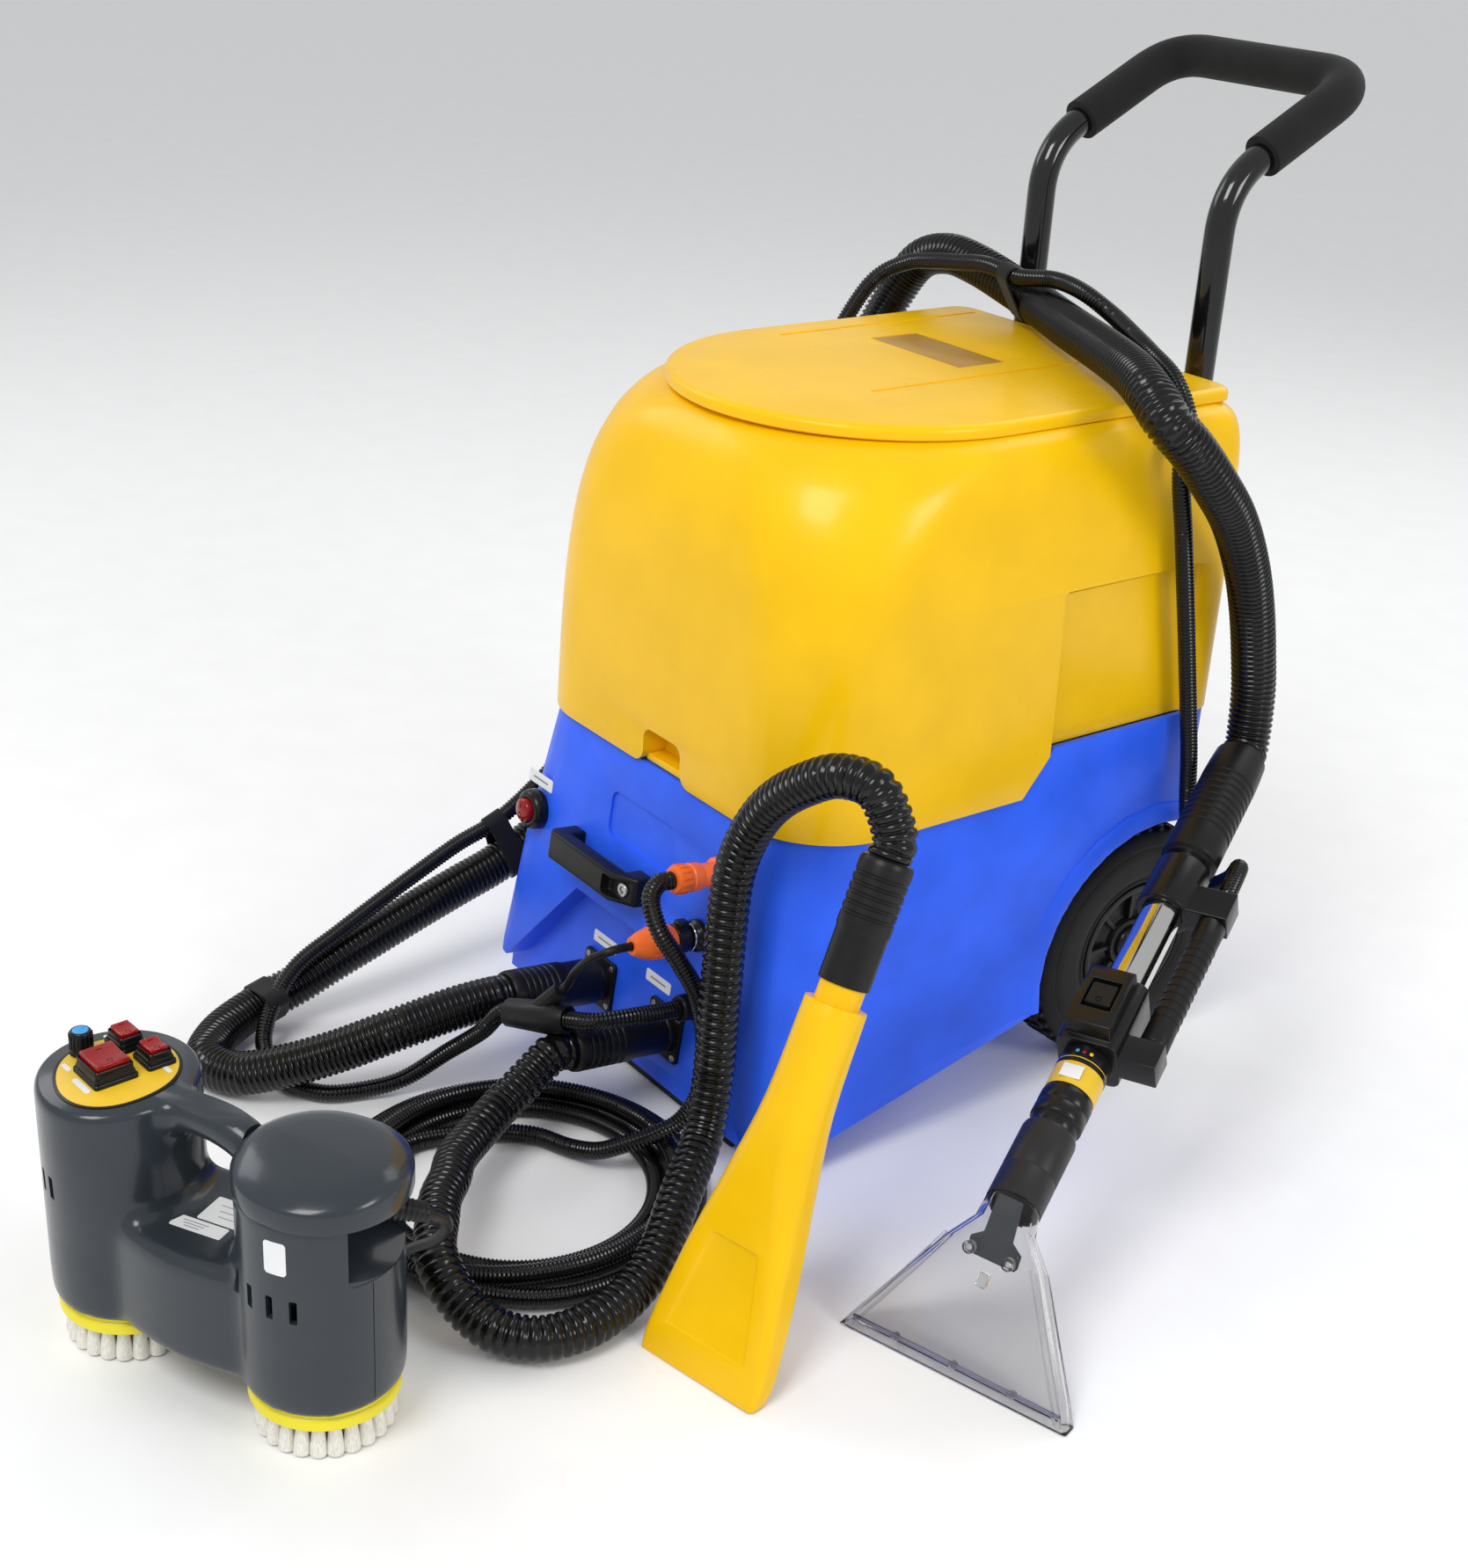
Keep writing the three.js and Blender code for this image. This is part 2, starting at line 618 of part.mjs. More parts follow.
// ---------- push handle ----------
function handlePath() {
  const path = new THREE.CurvePath();
  const [h, c] = [handleHalf, handleCorner];
  const slope = new THREE.Vector3(0, handleReach, handleTop - handleBend).normalize();
  const bend = (side) => new THREE.Vector3(side * h, handleY, handleBend);
  const far = (side) => new THREE.Vector3(side * h, handleY + handleReach, handleTop);
  const before = (side) => bend(side).addScaledVector(slope, c);
  const corner = (side) => far(side).addScaledVector(slope, -c);
  const below = (side) => bend(side).add(new THREE.Vector3(0, 0, -c));
  const inside = (side) => far(side).add(new THREE.Vector3(-side * c, 0, 0));
  path.add(new THREE.LineCurve3(new THREE.Vector3(-h, handleY, handleFoot), below(-1)));
  path.add(new THREE.QuadraticBezierCurve3(below(-1), bend(-1), before(-1)));
  path.add(new THREE.LineCurve3(before(-1), corner(-1)));
  path.add(new THREE.QuadraticBezierCurve3(corner(-1), far(-1), inside(-1)));
  path.add(new THREE.LineCurve3(inside(-1), inside(1)));
  path.add(new THREE.QuadraticBezierCurve3(inside(1), far(1), corner(1)));
  path.add(new THREE.LineCurve3(corner(1), before(1)));
  path.add(new THREE.QuadraticBezierCurve3(before(1), bend(1), below(1)));
  path.add(new THREE.LineCurve3(below(1), new THREE.Vector3(h, handleY, handleFoot)));
  return path;
}

// Points along a path of lines and bends: few on a line, several in a bend.
function pathPoints(path, perBend = 4) {
  const points = [path.curves[0].getPoint(0)];
  for (const curve of path.curves) {
    const steps = curve.isLineCurve3 ? 1 : perBend;
    for (let i = 1; i <= steps; i++) points.push(curve.getPoint(i / steps));
  }
  return points;
}

// A tube through points, its section kept square to the path by the same side direction.
function pipe(points, radius, sides = 12, bore = 0) {
  const rings = points.map((p, i) => {
    const before = points[Math.max(i - 1, 0)];
    const after = points[Math.min(i + 1, points.length - 1)];
    const ahead = after.clone().sub(before).normalize();
    return { p, ahead };
  });
  let side = new THREE.Vector3(1, 0, 0);
  if (Math.abs(side.dot(rings[0].ahead)) > 0.8) side = new THREE.Vector3(0, 1, 0);
  const loops = rings.map(({ p, ahead }) => {
    side = side.clone().addScaledVector(ahead, -side.dot(ahead)).normalize();
    const other = ahead.clone().cross(side);
    return Array.from({ length: sides }, (_, i) => {
      const turn = 2 * Math.PI * i / sides;
      return p.clone().addScaledVector(side, radius * Math.cos(turn))
        .addScaledVector(other, radius * Math.sin(turn));
    });
  });
  const tube = lofted(loops);
  if (!bore) return tube;
  return cut(solid(tube), solid(pipe(points, bore, sides)));
}

function makeHandle() {
  const frame = solid(pipe(pathPoints(handlePath()), handleTube));
  const clampLow = box(-handleHalf, handleHalf, handleY - 6, handleY + 6, 250, 278);
  const feet = [-1, 1].map((side) => solid(box(
    side * handleHalf - 16, side * handleHalf + 16, baseRear + gap, handleY, 240, 288)));
  return join(frame, solid(clampLow), ...feet);
}

function makeGrip() {
  const path = handlePath();
  const points = pathPoints({ curves: path.curves.slice(2, 7) });
  const first = points[0].clone().lerp(points[1], 0.04);
  const last = points[points.length - 1].clone().lerp(points[points.length - 2], 0.04);
  const middle = points.slice(1, -1);
  return pipe([first, ...middle, last], gripRadius, 12, handleTube + 1);
}
add('push_handle', makeHandle(), blackSteel);
add('handle_grip', makeGrip(), foam);

// ---------- front panel ----------
const bezel = onPanel(switchPlace.x, switchPlace.z);
add('switch_bezel', turned([
  [11.4, -12], [13.6, -12], [13.6, gap], [20, gap], [20, 7], [17, 13], [12.2, 14], [12.2, 3], [11.4, 3],
], 16), blackPlastic, bezel);
add('power_button', turned([
  [0, -8], [4, -8], [4, 7 + gap], [11.6, 7 + gap], [11.6, 18], [9, 20.5], [0, 21.5],
], 16), redPlastic, bezel);

function makePullHandle() {
  const { length, height, standoff, bar } = handlePull;
  const half = length / 2;
  const outer = [
    [-half, gap], [half, gap], [half, standoff - 15], [half - 24, standoff], [-half + 6, standoff],
    [-half, standoff - 6],
  ];
  const inner = [[-half + 18, -9], [half - 22, -9], [half - 22, standoff - bar], [-half + 18, standoff - bar]];
  const whole = cut(solid(raised(outer, -height / 2, height / 2)), solid(raised(inner, -50, 50)));
  const socket = raised([[0, -9], [26, -9], [26, 9], [0, 9]], -8, 8);
  socket.rotateX(Math.PI / 2);
  return cut(whole, solid(socket.rotateZ(0.55).translate(half - 10, standoff - 4, 0)));
}
const pull = onPanel(handlePull.x, handlePull.z);
add('pull_handle', makePullHandle(), blackPlastic, pull).rotation.x = Math.PI / 2;

function makeSocket(flange, pipeRadius, reach, hole) {
  const plate = raised(roundedBox(flange, flange, 5), gap, 4);
  const sleeve = turned([
    [hole, -14], [pipeRadius, -14], [pipeRadius, 3.5], [pipeRadius + 3.5, 3.6], [pipeRadius + 3.5, reach - 2],
    [pipeRadius + 2, reach], [hole, reach],
  ], 16);
  return join(cut(solid(plate), solid(rod(pipeRadius - 1, -5, 10, 16))), solid(sleeve));
}
const suctionSocket = onPanel(socketX.suction, socketZ.hose, lowerPanelY);
const dryingSocket = onPanel(socketX.drying, socketZ.hose, lowerPanelY);
const powerSocket = onPanel(socketX.power, socketZ.power, lowerPanelY);
add('suction_socket', makeSocket(socketFlange, socketPipe, 10, 13), blackPlastic, suctionSocket);
add('drying_socket', makeSocket(socketFlange, socketPipe, 10, 13), blackPlastic, dryingSocket);
add('wand_power_socket', makeSocket(powerFlange, 9, 26, 6), blackPlastic, powerSocket);

function makeCoupler() {
  const body = turned([
    [4, -10], [8.6, -10], [8.6, gap], [15, gap], [15, 6], [11, 8], [11, 16], [14, 18], [14, couplerLength],
    [4, couplerLength],
  ], 16);
  return join(solid(body), solid(box(-5, 5, 13, 18, 16, couplerLength - 2)));
}

const nutProfile = [
  [4 + gap, gap], [13, gap], [14.5, 4], [14.5, 28], [12, 36], [8.5, nutLength], [4 + gap, nutLength],
];
const coupler = onPanel(couplerPlace.x, couplerPlace.z);
add('solution_coupler', makeCoupler(), blackPlastic, coupler);
add('coupler_nut', turned(nutProfile.map(([r, z]) => [r, z + couplerLength]), 16), orangePlastic, coupler);

const secondCoupler = onPanel(brushPlug.x, brushPlug.z);
add('brush_coupler', join(
  solid(turned([[4, -10], [8.6, -10], [8.6, gap], [15, gap], [15, 6], [11, 8], [11, 26], [4, 26]], 16)),
  solid(turned([[4, 24], [13, 24], [13, brushPlugReach], [4, brushPlugReach]], 16))), orangePlastic,
  secondCoupler);

// ---------- cuffs on the sockets ----------
const cuffStart = 10 + gap;
const cuffEnd = 110;
function makeCuff(radius, bore) {
  return turned([
    [bore, cuffStart], [radius, cuffStart], [radius, cuffStart + 34], [radius + 1.5, cuffStart + 38],
    [radius + 1.5, cuffEnd - 3], [radius, cuffEnd], [bore, cuffEnd],
  ], 16);
}
add('suction_cuff', makeCuff(suctionHose + 1.5, 15), blackPlastic, suctionSocket);
add('drying_cuff', makeCuff(dryingHose + 2, 13), blackPlastic, dryingSocket);

// ---------- wand ----------
const lipAcross = at(0.957, 0.288, 0).normalize();
const wandAxis = wandTop.clone().sub(wandBottom).normalize();
const wand = place(wandBottom, lipAcross, wandAxis);
const wandLength = wandTop.distanceTo(wandBottom);
const wandBore = wandTubeRadius + gap;
const tubeStart = 62;
const tubeEnd = 418;
const sleeveEnd = 78;
const switchBox = { from: 160, to: 236, width: 54, depth: 52 };
const clampAt = { from: 340, to: 396, armTo: 372 };

add('nozzle_sleeve', turned([
  [19, 0], [23.5, 0], [23.5, 75], [22, sleeveEnd], [wandBore, sleeveEnd], [wandBore, tubeStart - 2],
  [19, tubeStart - 4],
], 14), darkSleeve, wand);
add('wand_collar', turned([
  [wandBore, sleeveEnd + gap], [20, sleeveEnd + gap], [20, 88], [22.5, 90], [22.5, 114], [21.5, 116],
  [21.5, switchBox.from], [wandBore, switchBox.from],
], 14), blackPlastic, wand);
add('wand_tube', turned([
  [wandTubeRadius - 1.5, tubeStart], [wandTubeRadius, tubeStart], [wandTubeRadius, tubeEnd],
  [wandTubeRadius - 1.5, tubeEnd],
], 14), chrome, wand);

function makeSwitchBox() {
  const { from, to, width, depth } = switchBox;
  const body = solid(raised(roundedBox(width, depth, 9), from + gap, to));
  const hood = solid(box(-20, 20, rockerPlace.y - 4, -20, from + 6, to - 6));
  const arm = solid(box(15, gripOffset + gripHalf, -gripHalf, gripHalf, from + 2, gripFrom - gap));
  const slot = solid(box(-13, 13, -60, rockerPlace.y + 8, rockerPlace.z - 16, rockerPlace.z + 16));
  return cut(join(body, hood, arm), slot, solid(rod(wandBore, 100, 300, 14)));
}
add('wand_switch_box', makeSwitchBox(), blackPlastic, wand);
const rocker = new THREE.Group();
rocker.position.set(0, rockerPlace.y, rockerPlace.z);
wand.add(rocker);
add('wand_rocker', box(-11.5, 11.5, -4.5, 4.5, -12, 12), blackPlastic, rocker);

function makeClamp() {
  const { from, to, armTo } = clampAt;
  const ring = turned([[wandBore, from], [25, from], [25, to], [wandBore, to]], 14);
  const arm = box(19, gripOffset + gripHalf, -gripHalf, gripHalf, from, armTo);
  return cut(join(solid(ring), solid(arm)), solid(rod(wandBore, from - 20, to + 20, 14)),
    solid(rod(conduit + gap, from + 15, to, 16).translate(gripOffset, 0, 0)));
}
add('wand_clamp', makeClamp(), blackPlastic, wand);
add('wand_grip', rod(gripHalf, gripFrom, clampAt.from - gap, 16).translate(gripOffset, 0, 0),
  blackPlastic, wand);
add('wand_cuff', turned([
  [15, tubeEnd + gap], [wandBore, tubeEnd + gap], [wandBore, 404], [23, 404], [26, 408], [26, wandLength - 30],
  [24.5, wandLength], [15, wandLength],
], 14), blackPlastic, wand);

// Rings across a hollow flat nozzle, from its lip to its round neck. Each row lies on the line from
// one point to another; its thickness turns from level at the lip to square with the neck.
function nozzleRings(rows, from, to, across, neckAxis, steps) {
  const level = at(0, 0, 1).cross(across).normalize();
  const square = neckAxis.clone().cross(across).normalize();
  return rows.map(({ along, half, thick, round, turn }) => {
    const centre = from.clone().lerp(to, along);
    const deep = level.clone().lerp(square, turn).normalize();
    const side = across.clone().addScaledVector(neckAxis, -turn * across.dot(neckAxis)).normalize();
    return roundedBox(half * 2, thick, round, steps)
      .map(([x, y]) => centre.clone().addScaledVector(side, x).addScaledVector(deep, y));
  });
}

function thinner(row, by, shift = 0) {
  const thick = row.thick - 2 * by;
  const round = Math.min(row.round, thick / 2.1);
  return { ...row, along: row.along + shift, half: row.half - by, thick, round };
}

function makeFloorNozzle() {
  const neck = wandBottom.clone().addScaledVector(wandAxis, -gap);
  const rows = [
    { along: 0, half: lipHalf, thick: 15, round: 2, turn: 0 },
    { along: 0.1, half: lipHalf - 8, thick: 15, round: 3, turn: 0.1 },
    { along: 0.72, half: 45, thick: 26, round: 9, turn: 0.6 },
    { along: 0.88, half: 26, thick: 38, round: 18, turn: 0.85 },
    { along: 1, half: 23, thick: 46, round: 22, turn: 1 },
  ];
  const last = rows.length - 1;
  const inner = rows.map((row, i) => thinner(row, 2.5, i === 0 ? -0.02 : i === last ? 0.02 : 0));
  return cut(
    solid(lofted(nozzleRings(rows, lipCentre, neck, lipAcross, wandAxis, 3))),
    solid(lofted(nozzleRings(inner, lipCentre, neck, lipAcross, wandAxis, 3))));
}
add('floor_nozzle', makeFloorNozzle(), clearPlastic);

// ---------- air nozzle ----------
const airLine = airTop.clone().sub(airTip);
const airLength = airLine.length();
const airAxis = airLine.clone().normalize();
const airAcross = at(0.979, 0.206, 0).normalize();
const air = place(airTip, airAcross, airAxis);
const airBodyEnd = 314;
const airCuffStart = 331;
const spigotRadius = 19;
function makeAirNozzle() {
  const rows = [
    { along: 0, half: 60, thick: 20, round: 5, turn: 0 },
    { along: 20, half: 61, thick: 24, round: 7, turn: 0.4 },
    { along: 100, half: 49, thick: 38, round: 12, turn: 1 },
    { along: 165, half: 38, thick: 48, round: 21, turn: 1 },
    { along: 230, half: 28, thick: 50, round: 23, turn: 1 },
    { along: airBodyEnd, half: 25.5, thick: 51, round: 24, turn: 1 },
  ];
  const last = rows.length - 1;
  const inner = rows.map((row, i) => thinner(row, 3, i === 0 ? -8 : i === last ? -5 : 0));
  const end = airTip.clone().add(airAxis);
  const matrix = new THREE.Matrix4().compose(air.position, air.quaternion, at(1, 1, 1));
  const spigot = rod(spigotRadius, airBodyEnd - 5, airCuffStart + 30, 14).applyMatrix4(matrix);
  const bore = rod(spigotRadius - 3, airBodyEnd - 14, airCuffStart + 60, 14).applyMatrix4(matrix);
  return cut(
    join(solid(lofted(nozzleRings(rows, airTip, end, airAcross, airAxis, 3))), solid(spigot)),
    solid(lofted(nozzleRings(inner, airTip, end, airAcross, airAxis, 3))), solid(bore));
}
add('air_nozzle', makeAirNozzle(), yellowPlastic);
add('air_cuff', turned([
  [spigotRadius + gap, airCuffStart], [21.5, airCuffStart], [21.5, airCuffStart + 42],
  [22.5, airCuffStart + 46],
  [22.5, airLength - 4], [21, airLength], [14, airLength], [14, airCuffStart + 30 + gap],
  [spigotRadius + gap, airCuffStart + 30 + gap],
], 14), blackPlastic, air);

// ---------- hand brush with two heads ----------
const brush = new THREE.Group();
brush.position.copy(brushCentre);
brush.rotation.z = brushTurn;
machine.add(brush);
const barrelHalf = barrelSpacing / 2;
const capBottom = 212;
const webTop = 140;
const panelTurn = THREE.MathUtils.degToRad(-18);
const pocketTurn = THREE.MathUtils.degToRad(4);
const bossHeight = 6;
const keyLift = 2.4;               // room under a rocker key to tip
const rockers = [
  { name: 'main_rocker', u: -2, v: -11, long: 30, wide: 27, tall: 9 },
  { name: 'brush_rocker', u: -20, v: 28, long: 19, wide: 15, tall: 7 },
  { name: 'spray_rocker', u: 14, v: 24, long: 19, wide: 15, tall: 7 },
];
const slotTurns = { right: [-125, -106, -87, -69], left: [-128, -115, -102] };

// The outline of the body between the barrels: it bulges in the middle and narrows at each barrel.
function waist(inset) {
  const groove = 62;             // from the middle to each groove
  const halfDepth = (u) => (Math.abs(u) > groove ? 42 : 51 + 9 * Math.cos(Math.PI * u / groove / 2));
  const edge = (side) => Array.from({ length: 13 }, (_, i) => {
    const u = side * (i / 6 - 1) * barrelHalf;
    return [u, -side * (halfDepth(u) - inset)];
  });
  return [...edge(1), ...edge(-1)];
}

function makeBrushCap(grow) {
  const ring = (inset, z) => Array.from({ length: 24 }, (_, i) => {
    const turn = 2 * Math.PI * i / 24;
    const visor = 7 * Math.max(0, Math.cos(turn - pocketTurn));
    const radius = barrelRadius + 1 + grow + visor - inset;
    return at(barrelHalf + radius * Math.cos(turn), radius * Math.sin(turn), z);
  });
  return lofted([
    ring(1, capBottom + gap - grow), ring(0, capBottom + 6), ring(0, 228), ring(4, 236 + grow),
    ring(20, 242 + grow),
  ]);
}

function makeBrushBody() {
  const barrel = (side, top, inset) => solid(
    rod(barrelRadius - inset, barrelBottom - inset * 4, top - inset, 24, barrelRadius - inset - 2)
    .translate(side * barrelHalf, 0, 0));
  const web = (inset) => solid(raised(waist(inset), barrelBottom + 6 - inset * 6, webTop - inset));
  const bar = solid(pipe([
    at(-78, 0, 206), at(-56, 0, 217), at(-28, 0, 224), at(0, 0, 226), at(26, 0, 221), at(46, 0, 208),
    at(62, 0, 190),
  ], 15));
  const pocket = (grow) => solid(box(26 - grow, 90, -34 - grow, 34 + grow, 168 - grow, 240)
    .rotateZ(pocketTurn).translate(barrelHalf, 0, 0));
  const inner = cut(
    join(barrel(-1, barrelTop, brushShell), barrel(1, capBottom, brushShell), web(brushShell)),
    pocket(brushShell));
  const bosses = rockers.map(({ u, v, long, wide }) => solid(
    raised(roundedBox(long + 8, wide + 8, 3), -1, bossHeight)
    .rotateZ(panelTurn).translate(u - barrelHalf, v, barrelTop)));
  const slot = (side, turn, low) => solid(box(40, 80, -3, 3, low, low + 20)
    .rotateZ(THREE.MathUtils.degToRad(turn)).translate(side * barrelHalf, 0, 0));
  const outer = join(barrel(-1, barrelTop, 0), barrel(1, capBottom, 0), web(0), bar);
  return cut(
    join(cut(outer, inner), ...bosses), pocket(0), solid(makeBrushCap(gap)),
    ...slotTurns.right.map((turn) => slot(1, turn, 129)),
    ...slotTurns.left.map((turn) => slot(-1, turn, 147)));
}
add('brush_body', makeBrushBody(), greyPlastic, brush);
add('brush_cap', makeBrushCap(0), greyPlastic, brush);

for (const { name, u, v, long, wide, tall } of rockers) {
  const key = new THREE.Group();
  key.position.set(u - barrelHalf, v, barrelTop + bossHeight + tall / 2 + keyLift);
  key.rotation.z = panelTurn;
  brush.add(key);
  const half = long / 2;
  const keel = -tall / 2 - keyLift + gap;
  const side = [[-half, 0], [-half + 2, -tall / 2], [-2, -tall / 2], [-1.5, keel], [1.5, keel], [2, -tall / 2],
    [half - 2, -tall / 2], [half, 0], [half, tall / 2], [0, tall / 2 - 1.2], [-half, tall / 2]];
  add(name, raised(side, -wide / 2, wide / 2).rotateX(Math.PI / 2), redPlastic, key);
}
const knob = new THREE.Group();
knob.position.set(-38 - barrelHalf, 0, barrelTop + gap);
brush.add(knob);
add('speed_knob', cut(solid(rod(9.5, 0, 20, 16, 8)), solid(box(-0.8, 0.8, 2, 12, 18, 22))), blackPlastic, knob);

const motorBottom = 35;
const motorFlange = 84;
const motorTop = 158;
for (const side of [-1, 1]) {
  const name = side > 0 ? 'right' : 'left';
  const centre = new THREE.Group();
  centre.position.x = side * barrelHalf;
  brush.add(centre);
  const flange = barrelRadius - brushShell - 1.2;
  add(`${name}_brush_motor`, turned([
    [0, motorBottom], [6, motorBottom], [6, motorFlange], [flange, motorFlange], [flange, motorFlange + 4],
    [30, motorFlange + 4], [30, motorTop], [0, motorTop],
  ], 16), steel, centre);
  add(`${name}_brush_head`, turned([
    [0, 0], [54, 0], [51, 28], [headRadius, 28.5], [headRadius, 38], [55, barrelBottom - 1],
    [6 + gap, barrelBottom - 1], [6 + gap, motorBottom - gap], [0, motorBottom - gap],
  ], 14), ringYellow, centre);
}

// ---------- hoses, conduits and tubes ----------
function panelPoint(x, z, height, out) {
  return at(x, height(z), z).addScaledVector(panelOut, out);
}

add('suction_hose', cord([
  ...leaving(panelPoint(socketX.suction, socketZ.hose, lowerPanelY, cuffEnd + gap), panelOut),
  at(-73, -182, 88), at(-85, -240, 76), at(-111, -289, 54), at(-140, -336, 36), at(-170, -366, 24),
  at(-205, -378, 22), at(-243, -350, 22), at(-266, -300, 27), at(-266, -254, 40), at(-262, -213, 58),
  at(-262, -166, 74), at(-263, -120, 89), at(-265, -71, 103), at(-265, -23, 118), at(-265, 60, 160),
  at(-265, 150, 240), at(-266, 250, 350), at(-268, 340, 470), at(-272, 415, 590), at(-268, 458, 666),
  at(-245, 472, 708), at(-205, 474, 722), at(-159, 474, 719), at(-108, 474, 708), at(-72, 472, 700),
  at(-20, 448, 699), at(33, 420, 700), at(129, 372, 702), at(200, 334, 702), at(240, 314, 695),
  at(266, 309, 680), at(278, 332, 655), at(280, 364, 622), at(275, 402, 584), at(268, 438, 534),
  at(262, 464, 484), at(260, 480, 434), at(262, 486, 395),
  ...leaving(wandTop.clone().addScaledVector(wandAxis, gap), wandAxis).reverse(),
], suctionHose, 8, 66), hoseBlack);

add('drying_hose', cord([
  ...leaving(panelPoint(socketX.drying, socketZ.hose, lowerPanelY, cuffEnd + gap), panelOut),
  at(47, -182, 70), at(52, -210, 56), at(70, -245, 50), at(100, -283, 54), at(127, -304, 58),
  at(150, -326, 60),
  at(175, -343, 60), at(208, -364, 57), at(238, -369, 46), at(262, -362, 31), at(286, -350, 23),
  at(306, -328, 20), at(314, -298, 20), at(312, -267, 21), at(304, -234, 27), at(294, -206, 39),
  at(262, -160, 66), at(228, -114, 90), at(210, -92, 130), at(198, -80, 196), at(184, -66, 272),
  at(180, -58, 312), at(190, -52, 350), at(216, -50, 388), at(257, -48, 422), at(290, -42, 440),
  at(322, -33, 439),
  ...leaving(airTop.clone().addScaledVector(airAxis, gap), airAxis).reverse(),
], dryingHose, 8, 62), hoseBlack);

const powerReach = 26;
const branchStart = at(52, -137, 124);
const branchEnd = at(-16, -165, 107);
const branchLine = branchEnd.clone().sub(branchStart).normalize();
const gripPoint = (z) => at(gripOffset, 0, z).applyQuaternion(wand.quaternion).add(wand.position);
add('wand_conduit', cord([
  ...leaving(panelPoint(socketX.power, socketZ.power, lowerPanelY, powerReach + gap), panelOut, 10),
  at(84, -100, 131), at(72, -126, 129),
  branchStart, branchStart.clone().lerp(branchEnd, 0.5), branchEnd,
  at(-38, -176, 78), at(-64, -198, 49), at(-90, -232, 16), at(-102, -264, 9), at(-116, -300, 9),
  at(-142, -318, 9), at(-178, -322, 9), at(-214, -316, 20), at(-238, -292, 46), at(-250, -262, 70),
  at(-255, -213, 92), at(-258, -168, 112), at(-261, -121, 132), at(-264, -73, 151), at(-264, -24, 168),
  at(-264, 40, 212), at(-264, 125, 288), at(-264, 215, 390), at(-266, 300, 505), at(-266, 372, 618),
  at(-256, 420, 690), at(-225, 436, 712), at(-190, 440, 720), at(-150, 440, 726), at(-112, 440, 731),
  at(-66, 440, 728), at(-20, 446, 733), at(24, 442, 730), at(58, 444, 718), at(114, 416, 713),
  at(160, 393, 708), at(200, 386, 692), at(228, 380, 660), at(237, 368, 626), at(237, 384, 560),
  at(237, 402, 486), at(237, 420, 410), at(240, 433, 339), at(246, 440, 266), at(264, 438, 226),
  at(306, 412, 220), at(350, 372, 240),
  ...[384, 374, 364, clampAt.from + 15 + gap].map(gripPoint),
], conduit, 6, 84), hoseBlack);

const branchLength = 68;
const legEnd = at(40, -140, 150);
const legAxis = legEnd.clone().sub(branchStart.clone().lerp(branchEnd, 0.62)).normalize();
function makeBranch() {
  const bore = conduit + 2;
  const sleeve = turned([
    [bore, 0], [13, 0], [16, branchLength * 0.3], [13.5, branchLength], [bore, branchLength],
  ], 14);
  const turn = new THREE.Quaternion().setFromUnitVectors(at(0, 0, 1), branchLine);
  const foot = branchStart.clone().addScaledVector(branchLine, 2);
  const matrix = new THREE.Matrix4().compose(foot, turn, at(1, 1, 1));
  const leg = pipe([legEnd.clone().addScaledVector(legAxis, -48), legEnd], 8, 10);
  const hole = rod(bore, -40, branchLength + 40, 14).applyMatrix4(matrix);
  return cut(join(solid(sleeve.applyMatrix4(matrix)), solid(leg)), solid(hole));
}
add('conduit_branch', makeBranch(), darkSleeve);
add('solution_tube', cord([
  ...leaving(
    panelPoint(couplerPlace.x, couplerPlace.z, panelY, couplerLength + nutLength + gap), panelOut, 10),
  at(98, -128, 214), at(84, -138, 203), at(66, -142, 182),
  ...leaving(legEnd.clone().addScaledVector(legAxis, gap), legAxis, 10).reverse(),
], solutionTube, 6, 14), hoseBlack);

add('conduit_coil', turned([
  [coilInner, 0], [coilOuter, 0], [coilOuter, coilHeight], [coilInner, coilHeight],
], 32).translate(coilCentre.x, coilCentre.y, 0), hoseBlack);

add('brush_conduit', cord([
  ...leaving(panelPoint(brushPlug.x, brushPlug.z, panelY, brushPlugReach + gap), panelOut, 12),
  at(125, -105, 274), at(142, -108, 252), at(155, -94, 222), at(160, -76, 186), at(161, -66, 140),
  at(162, -65, 96), at(161, -68, 62), at(160, -70, 36),
], conduit, 6, 24), hoseBlack);
add('brush_lead', cord([
  at(96, -401, 9), at(128, -402, 13), at(160, -400, 30), at(194, -397, 56), at(228, -394, 86),
  at(264, -395, 116), at(294, -402, 148), at(314, -416, 175), at(320, -436, 192), at(312, -456, 199),
  at(294, -472, 199),
], leadRadius, 6, 30), hoseBlack);

export default machine;
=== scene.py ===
import math

import bmesh
import bpy
from mathutils import Matrix, Vector


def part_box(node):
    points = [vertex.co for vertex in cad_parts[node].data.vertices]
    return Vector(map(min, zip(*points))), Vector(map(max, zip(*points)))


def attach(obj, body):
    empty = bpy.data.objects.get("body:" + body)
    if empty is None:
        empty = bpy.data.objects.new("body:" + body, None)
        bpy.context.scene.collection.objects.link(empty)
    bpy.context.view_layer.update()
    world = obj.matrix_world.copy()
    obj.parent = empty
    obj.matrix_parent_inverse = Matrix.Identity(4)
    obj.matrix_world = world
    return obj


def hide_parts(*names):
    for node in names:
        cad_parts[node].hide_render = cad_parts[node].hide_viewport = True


bl_info = {
    "name": "Carpet Cleaner",
    "version": (1, 0, 0),
    "blender": (4, 5, 0),
    "location": "View3D > Sidebar > Cleaner",
    "description": "A wheeled carpet cleaner with its wand, air nozzle and twin-head hand brush",
    "category": "Add Mesh",
}

